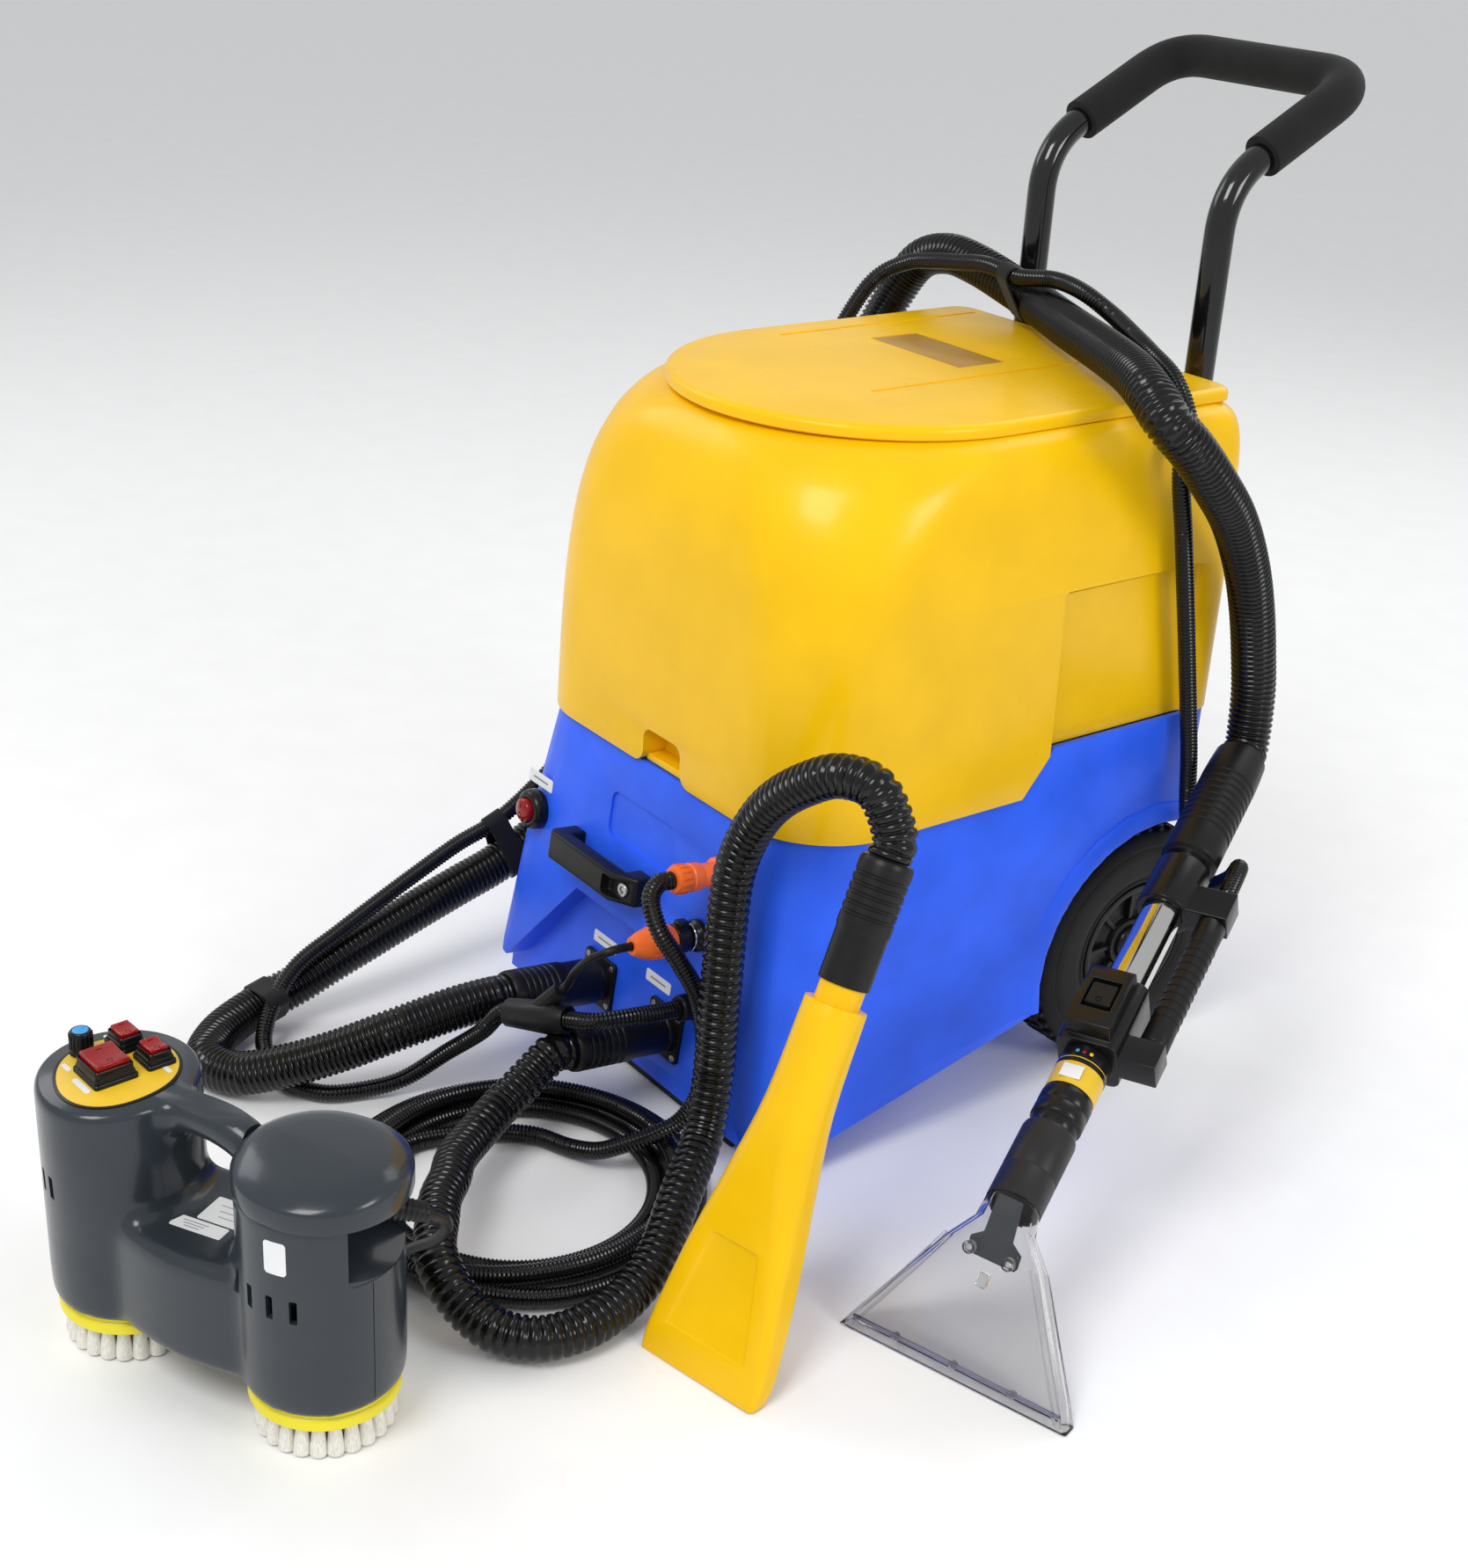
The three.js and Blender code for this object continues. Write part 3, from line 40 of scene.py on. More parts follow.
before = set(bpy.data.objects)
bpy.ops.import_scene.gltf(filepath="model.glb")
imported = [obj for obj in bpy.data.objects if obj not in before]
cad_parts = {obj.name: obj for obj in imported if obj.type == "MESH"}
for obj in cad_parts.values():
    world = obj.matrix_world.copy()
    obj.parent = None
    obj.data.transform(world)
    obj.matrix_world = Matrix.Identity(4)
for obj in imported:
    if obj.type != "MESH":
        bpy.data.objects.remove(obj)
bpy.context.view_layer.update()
MM = 0.001
BODY = "machine"

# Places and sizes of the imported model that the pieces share, in millimetres.
BASE_FRONT, CHEEK_DEPTH, CHEEK_HEIGHT, BASE_CLEARANCE = -30, 22, 45, 18
PANEL_TILT = math.radians(7)
AXLE_Y, WHEEL_RADIUS, WHEEL_OUTER, WHEEL_WIDTH, RIM_RADIUS = 418, 124, 221, 62, 66
WAND_BOTTOM, WAND_TOP = Vector((490, 0, 132)), Vector((276, 465, 336))
LIP_CENTRE, LIP_ACROSS = Vector((501, -56, 0)), Vector((0.957, 0.288, 0)).normalized()
AIR_TIP, AIR_TOP = Vector((392, -226, 0)), Vector((346, -36, 388))
AIR_ACROSS = Vector((0.979, 0.206, 0)).normalized()
BRUSH_CENTRE, BRUSH_TURN, BARREL_HALF = Vector((180, -532, 0)), math.radians(23.2), 98
COIL_CENTRE = Vector((107, -225, 0))
HOSE_SOCKETS = {"suction": -69, "drying": 44, "wand_power": 88}     # across the panel
HOSE_SOCKET_Z, POWER_SOCKET_Z = 74, 122
CUFF_REACH = 110          # the hose cuffs end this far out of the panel
PULL_X, PULL_Z = -42, 214
SWITCH_X, SWITCH_Z = -178, 217
COUPLER_X, COUPLER_Z = 100, 205
PLUG_X, PLUG_Z = 115, 272


# ---------- sizes and colours ----------
def colour_of(name, value):
    return bpy.props.FloatVectorProperty(
        name=name, description=name + " in linear light", subtype="COLOR", size=3,
        min=0, max=1, default=value)


def length_of(name, value, about):
    return bpy.props.FloatProperty(
        name=name, description=about, subtype="DISTANCE", unit="LENGTH", min=0, default=value)


class CleanerColours(bpy.types.PropertyGroup):
    tank: colour_of("Tank yellow", (0.90, 0.525, 0.0025))
    base: colour_of("Base blue", (0.022, 0.118, 0.92))
    black: colour_of("Black plastic", (0.0062, 0.0062, 0.0068))
    hose: colour_of("Hose black", (0.004, 0.004, 0.0043))
    rubber: colour_of("Tyre and foot rubber", (0.0068, 0.0068, 0.0070))
    foam: colour_of("Grip foam", (0.0075, 0.0075, 0.0078))
    brush: colour_of("Brush grey", (0.027, 0.034, 0.043))
    ring: colour_of("Brush ring yellow", (0.86, 0.74, 0.015))
    bristle: colour_of("Bristle white", (0.83, 0.81, 0.74))
    orange: colour_of("Coupler orange", (1.0, 0.17, 0.02))
    red: colour_of("Switch red", (0.27, 0.002, 0.003))
    cap: colour_of("Knob cap blue", (0.05, 0.33, 0.72))
    label: colour_of("Label white", (0.80, 0.81, 0.82))


class HoseSizes(bpy.types.PropertyGroup):
    suction: length_of("Suction hose diameter", 0.042, "Outside diameter of the suction hose")
    suction_pitch: length_of("Suction pitch", 0.0056, "Distance from one ridge to the next")
    drying: length_of("Drying hose diameter", 0.037, "Outside diameter of the drying hose")
    drying_pitch: length_of("Drying pitch", 0.0082, "Distance from one ridge to the next")
    conduit: length_of("Conduit diameter", 0.017, "Outside diameter of the thin conduits")
    conduit_pitch: length_of("Conduit pitch", 0.0036, "Distance from one ridge to the next")
    tube: length_of("Solution tube diameter", 0.008, "Outside diameter of the solution tube")
    lead: length_of("Brush lead diameter", 0.009, "Outside diameter of the lead into the brush")


class TrimSizes(bpy.types.PropertyGroup):
    shell_edge: length_of("Moulded edge", 0.0042, "Edge radius of the blue and yellow mouldings")
    part_edge: length_of("Part edge", 0.0014, "Edge radius of the smaller mouldings")
    screw: length_of("Screw head", 0.0066, "Diameter of the panel screws")


def colours():
    return bpy.context.scene.cleaner_colours


def hoses():
    return bpy.context.scene.cleaner_hoses


def trim():
    return bpy.context.scene.cleaner_trim


# ---------- materials ----------
MADE = {}


def nodes_of(name):
    material = bpy.data.materials.new(name)
    material.use_nodes = True
    tree = material.node_tree
    return material, tree, tree.nodes["Principled BSDF"]


def add_node(tree, kind, **values):
    node = tree.nodes.new(kind)
    for key, value in values.items():
        if key in node.inputs:
            node.inputs[key].default_value = value
        else:
            setattr(node, key, value)
    return node


def object_noise(tree, scale, stretch=(1, 1, 1), detail=4.0):
    coordinates = tree.nodes.new("ShaderNodeTexCoord")
    mapping = tree.nodes.new("ShaderNodeMapping")
    mapping.inputs["Scale"].default_value = stretch
    noise = add_node(tree, "ShaderNodeTexNoise", Scale=scale, Detail=detail)
    tree.links.new(coordinates.outputs["Object"], mapping.inputs["Vector"])
    tree.links.new(mapping.outputs["Vector"], noise.inputs["Vector"])
    return noise


def vary_colour(tree, shader, colour, noise, amount):
    ramp = tree.nodes.new("ShaderNodeValToRGB")
    low = tuple(c * (1 - amount) for c in colour) + (1,)
    high = tuple(min(1, c * (1 + amount) + amount * 0.004) for c in colour) + (1,)
    ramp.color_ramp.elements[0].position, ramp.color_ramp.elements[1].position = 0.35, 0.65
    ramp.color_ramp.elements[0].color, ramp.color_ramp.elements[1].color = low, high
    tree.links.new(noise.outputs["Fac"], ramp.inputs["Fac"])
    tree.links.new(ramp.outputs["Color"], shader.inputs["Base Color"])


def vary_roughness(tree, shader, roughness, noise, amount):
    spread = add_node(tree, "ShaderNodeMapRange")
    spread.inputs["To Min"].default_value = max(0.02, roughness - amount)
    spread.inputs["To Max"].default_value = min(1, roughness + amount)
    tree.links.new(noise.outputs["Fac"], spread.inputs["Value"])
    tree.links.new(spread.outputs["Result"], shader.inputs["Roughness"])


def add_bump(tree, shader, height, strength, distance):
    bump = add_node(tree, "ShaderNodeBump", Strength=strength, Distance=distance)
    tree.links.new(height, bump.inputs["Height"])
    tree.links.new(bump.outputs["Normal"], shader.inputs["Normal"])


def surface(name, colour, roughness, grain=400, depth=0.00006, mottle=0.08, spread=0.06,
            stretch=(1, 1, 1), **sockets):
    """A moulded or coated surface: fine grain, slow colour change and uneven gloss."""
    if name in MADE:
        return MADE[name]
    material, tree, shader = nodes_of(name)
    shader.inputs["Base Color"].default_value = (*colour, 1)
    for key, value in sockets.items():
        shader.inputs[key.replace("_", " ")].default_value = value
    slow = object_noise(tree, 14, detail=3)
    fine = object_noise(tree, grain, stretch)
    vary_colour(tree, shader, colour, slow, mottle)
    vary_roughness(tree, shader, roughness, object_noise(tree, 60, detail=5), spread)
    add_bump(tree, shader, fine.outputs["Fac"], 0.5, depth)
    material.diffuse_color = (*colour, 1)
    MADE[name] = material
    return material


def yellow_plastic():
    return surface("moulded yellow", colours().tank, 0.30, grain=170, depth=0.00022, mottle=0.035,
                   Specular_IOR_Level=0.2, Coat_Weight=0.1, Coat_Roughness=0.12)


def blue_plastic():
    return surface("moulded blue", colours().base, 0.42, grain=260, depth=0.00022, mottle=0.09,
                   Specular_IOR_Level=0.32)


def black_plastic():
    return surface("black plastic", colours().black, 0.26, grain=700, depth=0.00004,
                   Specular_IOR_Level=0.3)


def satin_black():
    return surface("satin black plastic", colours().black, 0.38, grain=900, depth=0.00008,
                   Specular_IOR_Level=0.28)


def hose_plastic():
    return surface("hose plastic", colours().hose, 0.17, grain=500, depth=0.00003, mottle=0.2,
                   spread=0.04, Specular_IOR_Level=0.34)


def rubber():
    return surface("black rubber", colours().rubber, 0.62, grain=600, depth=0.00012, mottle=0.2,
                   Specular_IOR_Level=0.24)


def foam():
    return surface("grip foam", colours().foam, 0.88, grain=1500, depth=0.00035, mottle=0.2,
                   Specular_IOR_Level=0.3, Sheen_Weight=0.06, Sheen_Roughness=0.5)


def gloss_black():
    return surface("gloss black paint", (0.004, 0.004, 0.0045), 0.12, grain=120, depth=0.00003,
                   Specular_IOR_Level=0.4, Coat_Weight=0.35, Coat_Roughness=0.04)


def chrome():
    return surface("polished chrome", (0.64, 0.63, 0.62), 0.09, grain=900, depth=0.00002, mottle=0.02,
                   spread=0.05, stretch=(1, 1, 0.2), Metallic=1.0)


def steel():
    return surface("plain steel", (0.52, 0.53, 0.55), 0.30, grain=1200, depth=0.00004, Metallic=1.0)


def grey_plastic():
    return surface("brush grey plastic", colours().brush, 0.22, grain=220, depth=0.0001, mottle=0.05,
                   Specular_IOR_Level=0.36, Coat_Weight=0.15, Coat_Roughness=0.08)


def ring_plastic():
    return surface("brush ring plastic", colours().ring, 0.38, grain=400, depth=0.00006, mottle=0.04)


def orange_plastic():
    return surface("coupler orange plastic", colours().orange, 0.36, grain=500, depth=0.00006)


def red_plastic():
    return surface("switch red plastic", colours().red, 0.14, grain=300, depth=0.00002,
                   Specular_IOR_Level=0.3, Coat_Weight=0.3, Coat_Roughness=0.05,
                   Subsurface_Weight=0.15, Subsurface_Radius=(0.004, 0.0004, 0.0004))


def blue_cap():
    return surface("knob cap blue", colours().cap, 0.35, grain=400)


def label_paper():
    return surface("label white", colours().label, 0.35, grain=800, depth=0.00002, mottle=0.03)


def faint_print():
    return surface("label grey print", (0.25, 0.27, 0.29), 0.45, grain=800, depth=0.00001)


def panel_yellow():
    return surface("panel yellow", (0.78, 0.50, 0.02), 0.35, grain=500, depth=0.00003, mottle=0.04)


def white_plastic():
    return surface("natural white plastic", (0.62, 0.62, 0.58), 0.4, grain=300)


def dark_sleeve():
    return surface("dark sleeve rubber", (0.016, 0.016, 0.017), 0.42, grain=700, depth=0.0001,
                   Specular_IOR_Level=0.3)


def bristle():
    """White nylon fibres: fine lengthwise lines."""
    if "bristle" in MADE:
        return MADE["bristle"]
    material, tree, shader = nodes_of("nylon bristle")
    fibre = object_noise(tree, 1500, (1, 1, 0.05), detail=6)
    vary_colour(tree, shader, colours().bristle, fibre, 0.16)
    vary_roughness(tree, shader, 0.42, fibre, 0.15)
    add_bump(tree, shader, fibre.outputs["Fac"], 1.0, 0.0006)
    shader.inputs["Subsurface Weight"].default_value = 0.2
    shader.inputs["Subsurface Radius"].default_value = (0.004, 0.004, 0.003)
    MADE["bristle"] = material
    return material


def clear_plastic():
    if "clear" in MADE:
        return MADE["clear"]
    material, tree, shader = nodes_of("clear moulded plastic")
    shader.inputs["Base Color"].default_value = (0.85, 0.85, 0.845, 1)
    shader.inputs["Transmission Weight"].default_value = 1.0
    shader.inputs["IOR"].default_value = 1.3
    haze = object_noise(tree, 40, detail=6)
    vary_roughness(tree, shader, 0.09, haze, 0.06)
    add_bump(tree, shader, object_noise(tree, 120).outputs["Fac"], 0.3, 0.0002)
    MADE["clear"] = material
    return material


# ---------- making and finishing pieces ----------
def deselect():
    if bpy.context.mode != "OBJECT":
        bpy.ops.object.mode_set(mode="OBJECT")
    bpy.ops.object.select_all(action="DESELECT")


def only(piece):
    deselect()
    piece.select_set(True)
    bpy.context.view_layer.objects.active = piece


def edit(piece):
    only(piece)
    bpy.ops.object.mode_set(mode="EDIT")
    bpy.ops.mesh.select_all(action="SELECT")


def tidy_mesh(piece):
    edit(piece)
    bpy.ops.mesh.remove_doubles(threshold=1e-6)
    bpy.ops.mesh.dissolve_degenerate(threshold=1e-6)
    bpy.ops.mesh.delete_loose(use_verts=True, use_edges=True, use_faces=False)
    bpy.ops.mesh.select_all(action="SELECT")
    bpy.ops.mesh.normals_make_consistent(inside=False)
    bpy.ops.object.mode_set(mode="OBJECT")


def moved(piece, place):
    only(piece)
    piece.matrix_world = place @ piece.matrix_world
    bpy.ops.object.transform_apply(location=True, rotation=True, scale=True)
    return piece


def applied(piece, kind, **settings):
    only(piece)
    modifier = piece.modifiers.new(kind.title(), kind)
    for key, value in settings.items():
        setattr(modifier, key, value)
    bpy.ops.object.modifier_apply(modifier=modifier.name)
    return piece


def bevelled(piece, width, segments=3, angle=32):
    return applied(piece, "BEVEL", width=width, segments=segments, limit_method="ANGLE",
                   angle_limit=math.radians(angle), harden_normals=False)


def smooth(piece, angle=38):
    only(piece)
    bpy.ops.object.shade_smooth_by_angle(angle=math.radians(angle))
    return piece


def finish(piece, name, material, body=BODY, replaces=(), angle=38):
    """Names a piece, shades it, gives it its material and puts it on its body."""
    piece.name = name
    piece.data.name = name
    piece.data.materials.clear()
    piece.data.materials.append(material)
    smooth(piece, angle)
    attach(piece, body)
    if replaces:
        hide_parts(*replaces)
    deselect()
    return piece


def joined(first, *others):
    deselect()
    for piece in (first, *others):
        piece.select_set(True)
    bpy.context.view_layer.objects.active = first
    bpy.ops.object.join()
    return first


def turned(profile, steps=64):
    """A turned piece about Z from its [radius, height] pairs in millimetres, a closed loop or
    one that starts and ends on the axis."""
    deselect()
    bpy.ops.mesh.primitive_circle_add(vertices=len(profile), radius=0.01, fill_type="NOTHING")
    piece = bpy.context.object
    for vertex, (radius, height) in zip(piece.data.vertices, profile):
        vertex.co = (radius * MM, 0, height * MM)
    edit(piece)
    bpy.ops.mesh.spin(steps=steps, angle=2 * math.pi, center=(0, 0, 0), axis=(0, 0, 1))
    tidy_mesh(piece)
    return piece


def block(x0, x1, y0, y1, z0, z1, edge=0.0, segments=3):
    """A box in millimetres with rounded edges."""
    deselect()
    bpy.ops.mesh.primitive_cube_add(size=1)
    piece = bpy.context.object
    piece.scale = ((x1 - x0) * MM, (y1 - y0) * MM, (z1 - z0) * MM)
    piece.location = ((x0 + x1) / 2 * MM, (y0 + y1) / 2 * MM, (z0 + z1) / 2 * MM)
    bpy.ops.object.transform_apply(location=True, rotation=True, scale=True)
    return bevelled(piece, edge * MM, segments) if edge else piece


def tool(place, *args, **extra):
    return moved(block(*args, **extra), place)


def lofted(rings, open_ends=False):
    """Rings of equal length in millimetres, each extruded from the one before."""
    deselect()
    bpy.ops.mesh.primitive_circle_add(
        vertices=len(rings[0]), radius=0.01, fill_type="NOTHING" if open_ends else "NGON")
    piece = bpy.context.object
    for vertex, point in zip(piece.data.vertices, rings[0]):
        vertex.co = Vector(point) * MM
    edit(piece)
    order = list(range(len(rings[0])))
    for ring in rings[1:]:
        bpy.ops.mesh.extrude_region_move(TRANSFORM_OT_translate={"value": (0, 0, 0.001)})
        mesh = bmesh.from_edit_mesh(piece.data)
        mesh.verts.ensure_lookup_table()
        step = []
        for index in order:
            old = mesh.verts[index]
            new = next(e.other_vert(old) for e in old.link_edges if e.other_vert(old).select)
            step.append(new.index)
        for index, point in zip(step, ring):
            mesh.verts[index].co = Vector(point) * MM
        bmesh.update_edit_mesh(piece.data)
        order = step
    bpy.ops.mesh.select_all(action="SELECT")
    bpy.ops.mesh.normals_make_consistent(inside=False)
    bpy.ops.object.mode_set(mode="OBJECT")
    return piece


def raised(outline, z0, z1, edge=0.0, segments=2):
    """An outline in X and Y, raised along Z, in millimetres."""
    piece = lofted([[(x, y, z0) for x, y in outline], [(x, y, z1) for x, y in outline]])
    return bevelled(piece, edge * MM, segments, 50) if edge else piece


def combined(piece, other, operation):
    only(piece)
    modifier = piece.modifiers.new("Combine", "BOOLEAN")
    modifier.operation, modifier.solver, modifier.object = operation, "EXACT", other
    bpy.ops.object.modifier_apply(modifier=modifier.name)
    bpy.data.objects.remove(other)
    return piece


def carve(piece, *cutters):
    for cutter in cutters:
        combined(piece, cutter, "DIFFERENCE")
    return piece


def joined_solid(first, *others):
    for other in others:
        combined(first, other, "UNION")
    return first


def copy_of(node, dissolve=0.5):
    """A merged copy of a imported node, with its flat faces joined up."""
    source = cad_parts[node]
    piece = bpy.data.objects.new(node + "_shape", source.data.copy())
    bpy.context.scene.collection.objects.link(piece)
    piece.matrix_world = source.matrix_world.copy()
    edit(piece)
    bpy.ops.mesh.remove_doubles(threshold=2e-6)
    bpy.ops.mesh.dissolve_limited(angle_limit=math.radians(dissolve))
    bpy.ops.object.mode_set(mode="OBJECT")
    return moved(piece, Matrix())


def turn_copies(piece, count, axis="Z", centre=(0, 0, 0)):
    """Copies of a piece turned evenly about an axis, joined into one."""
    copies = []
    for index in range(1, count):
        copy = piece.copy()
        copy.data = piece.data.copy()
        bpy.context.scene.collection.objects.link(copy)
        turn = Matrix.Rotation(2 * math.pi * index / count, 4, axis)
        shift = Matrix.Translation(Vector(centre))
        copies.append(moved(copy, shift @ turn @ shift.inverted()))
    return joined(piece, *copies)


def copied(piece, place):
    copy = piece.copy()
    copy.data = piece.data.copy()
    bpy.context.scene.collection.objects.link(copy)
    return moved(copy, place)


def rounded(width, height, radius, steps=6):
    points = []
    w, h = width / 2 - radius, height / 2 - radius
    for x, y, start in ((w, -h, -90), (w, h, 0), (-w, h, 90), (-w, -h, 180)):
        for i in range(steps + 1):
            turn = math.radians(start + 90 * i / steps)
            points.append((x + radius * math.cos(turn), y + radius * math.sin(turn)))
    return points


# ---------- places ----------
def basis(origin, along_x, along_z):
    z = Vector(along_z).normalized()
    y = z.cross(Vector(along_x)).normalized()
    x = y.cross(z)
    place = Matrix((x, y, z)).transposed().to_4x4()
    place.translation = Vector(origin) * MM
    return place


def panel_y(z):
    return BASE_FRONT - CHEEK_DEPTH + (z - CHEEK_HEIGHT) * math.tan(PANEL_TILT)


def lower_panel_y(z):
    return BASE_FRONT + (z - BASE_CLEARANCE) * math.tan(PANEL_TILT)


PANEL_OUT = Vector((0, -math.cos(PANEL_TILT), math.sin(PANEL_TILT)))


def on_panel(x, z, height=panel_y):
    return basis((x, height(z), z), (1, 0, 0), PANEL_OUT)


def panel_point(x, z, height, out):
    return Vector((x, height(z), z)) + PANEL_OUT * out


WAND = basis(WAND_BOTTOM, LIP_ACROSS, WAND_TOP - WAND_BOTTOM)
AIR = basis(AIR_TIP, AIR_ACROSS, AIR_TOP - AIR_TIP)
BRUSH = Matrix.Translation(BRUSH_CENTRE * MM) @ Matrix.Rotation(BRUSH_TURN, 4, "Z")


def on_brush(u, v, z, turn=0.0):
    return BRUSH @ Matrix.Translation(Vector((u, v, z)) * MM) @ Matrix.Rotation(turn, 4, "Z")


# ---------- routes of the cords, in millimetres ----------
WAND_AXIS = (WAND_TOP - WAND_BOTTOM).normalized()
AIR_AXIS = (AIR_TOP - AIR_TIP).normalized()


def leaving(point, axis, length=16):
    return [point + axis * (length * part) for part in (0, 0.5, 1)]


def wand_point(x, y, z):
    return (WAND @ (Vector((x, y, z)) * MM)) / MM


def points(*rows):
    return [Vector(row) for row in rows]


SUCTION_ROUTE = [
    *leaving(panel_point(HOSE_SOCKETS["suction"], HOSE_SOCKET_Z, lower_panel_y, CUFF_REACH + 0.4), PANEL_OUT),
    *points(
        (-73, -182, 88), (-85, -240, 76), (-111, -289, 54), (-140, -336, 36), (-170, -366, 24),
        (-205, -378, 22), (-243, -350, 22), (-266, -300, 27), (-266, -254, 40), (-262, -213, 58),
        (-262, -166, 74), (-263, -120, 89), (-265, -71, 103), (-265, -23, 118), (-265, 60, 160),
        (-265, 150, 240), (-266, 250, 350), (-268, 340, 470), (-272, 415, 590), (-268, 458, 666),
        (-245, 472, 708), (-205, 474, 722), (-159, 474, 719), (-108, 474, 708), (-72, 472, 700),
        (-20, 448, 699), (33, 420, 700), (129, 372, 702), (200, 334, 702), (240, 314, 695),
        (266, 309, 680), (278, 332, 655), (280, 364, 622), (275, 402, 584), (268, 438, 534),
        (262, 464, 484), (260, 480, 434), (262, 486, 395)),
    *reversed(leaving(WAND_TOP + WAND_AXIS * 0.4, WAND_AXIS)),
]
DRYING_ROUTE = [
    *leaving(panel_point(HOSE_SOCKETS["drying"], HOSE_SOCKET_Z, lower_panel_y, CUFF_REACH + 0.4), PANEL_OUT),
    *points(
        (47, -182, 70), (52, -210, 56), (70, -245, 50), (100, -283, 54), (127, -304, 58),
        (150, -326, 60), (175, -343, 60), (208, -364, 57), (238, -369, 46), (262, -362, 31),
        (286, -350, 23), (306, -328, 20), (314, -298, 20), (312, -267, 21), (304, -234, 27),
        (294, -206, 39), (262, -160, 66), (228, -114, 90), (210, -92, 130), (198, -80, 196),
        (184, -66, 272), (180, -58, 312), (190, -52, 350), (216, -50, 388), (257, -48, 422),
        (290, -42, 440), (322, -33, 439)),
    *reversed(leaving(AIR_TOP + AIR_AXIS * 0.4, AIR_AXIS)),
]
BRANCH_START, BRANCH_END = Vector((52, -137, 124)), Vector((-16, -165, 107))
LEG_END = Vector((40, -140, 150))
LEG_AXIS = (LEG_END - BRANCH_START.lerp(BRANCH_END, 0.62)).normalized()
WAND_CONDUIT_ROUTE = [
    *leaving(panel_point(HOSE_SOCKETS["wand_power"], POWER_SOCKET_Z, lower_panel_y, 26.4), PANEL_OUT, 10),
    *points((84, -100, 131), (72, -126, 129)),
    BRANCH_START, BRANCH_START.lerp(BRANCH_END, 0.5), BRANCH_END,
    *points(
        (-38, -176, 78), (-64, -198, 49), (-90, -232, 16), (-102, -264, 9), (-116, -300, 9),
        (-142, -318, 9), (-178, -322, 9), (-214, -316, 20), (-238, -292, 46), (-250, -262, 70),
        (-255, -213, 92), (-258, -168, 112), (-261, -121, 132), (-264, -73, 151), (-264, -24, 168),
        (-264, 40, 212), (-264, 125, 288), (-264, 215, 390), (-266, 300, 505), (-266, 372, 618),
        (-256, 420, 690), (-225, 436, 712), (-190, 440, 720), (-150, 440, 726), (-112, 440, 731),
        (-66, 440, 728), (-20, 446, 733), (24, 442, 730), (58, 444, 718), (114, 416, 713),
        (160, 393, 708), (200, 386, 692), (228, 380, 660), (237, 368, 626), (237, 384, 560),
        (237, 402, 486), (237, 420, 410), (240, 433, 339), (246, 440, 266), (264, 438, 226),
        (298, 424, 226), (334, 404, 252), (364, 376, 283)),
    *[wand_point(46, 0, z) for z in (384, 374, 364, 355.4)],
]
SOLUTION_ROUTE = [
    *leaving(panel_point(COUPLER_X, COUPLER_Z, panel_y, 74.4), PANEL_OUT, 10),
    *points((98, -128, 214), (84, -138, 203), (66, -142, 182)),
    *reversed(leaving(LEG_END + LEG_AXIS * 0.4, LEG_AXIS, 10)),
]
LEAD_ROUTE = points(
    (96, -401, 9), (128, -402, 13), (160, -400, 30), (194, -397, 56), (228, -394, 86),
    (264, -395, 116), (294, -402, 148), (314, -416, 175), (320, -436, 192), (312, -456, 199),
    (294, -472, 199))


# Each turn of the coil: its radius and its height, from and to, and the part of the turn it changes in.
COIL_LAPS = (
    ((118, 127, 0, 1), (9, 8.8, 0, 1)),
    ((127, 144.5, 0, 1), (8.8, 8.8, 0, 1)),
    ((144.5, 135.5, 0.4, 1), (8.8, 24.6, 0.15, 0.4)),
    ((135.5, 161, 0, 0.2), (24.6, 8.8, 0.2, 0.4)),
    ((161, 171, 0, 0.2), (8.8, 9, 0, 1)),
)


def ease(part, start, end):
    t = min(1, max(0, (part - start) / (end - start)))
    return t * t * (3 - 2 * t)


def coil_route():
    """From the front panel down to the floor, and round in stacked turns."""
    route = [
        *leaving(panel_point(PLUG_X, PLUG_Z, panel_y, 52.4), PANEL_OUT, 12),
        *points(
            (125, -105, 274), (142, -108, 252), (155, -94, 222), (160, -76, 186), (161, -66, 140),
            (162, -66, 104), (161, -72, 76), (156, -86, 55), (147, -104, 44), (133, -124, 33),
            (112, -142, 19), (82, -154, 10), (48, -170, 9), (22, -202, 9), (5, -240, 9)),
    ]
    steps = 16
    start = math.radians(205)
    for i in range(4 * steps + 3):
        lap, part = int(i / steps), i / steps % 1
        (radius, next_radius, r0, r1), (height, next_height, h0, h1) = COIL_LAPS[lap]
        radius += (next_radius - radius) * ease(part, r0, r1)
        height += (next_height - height) * ease(part, h0, h1)
        angle = start + 2 * math.pi * i / steps
        route.append(COIL_CENTRE + Vector((radius * math.cos(angle), radius * math.sin(angle), height)))
    route += points((72, -393, 9), (96, -401, 9))
    return route


# ---------- cord shapes ----------
def eased(p0, p1, p2, p3, t):
    """A point between p1 and p2 on the centripetal curve through four points."""
    k0, k1, k2 = ((b - a).length ** 0.5 or 1e-6 for a, b in ((p0, p1), (p1, p2), (p2, p3)))
    m1 = ((p1 - p0) / k0 - (p2 - p0) / (k0 + k1) + (p2 - p1) / k1) * k1
    m2 = ((p2 - p1) / k1 - (p3 - p1) / (k1 + k2) + (p3 - p2) / k2) * k1
    a = (p1 - p2) * 2 + m1 + m2
    b = (p2 - p1) * 3 - m1 * 2 - m2
    return a * t ** 3 + b * t ** 2 + m1 * t + p1


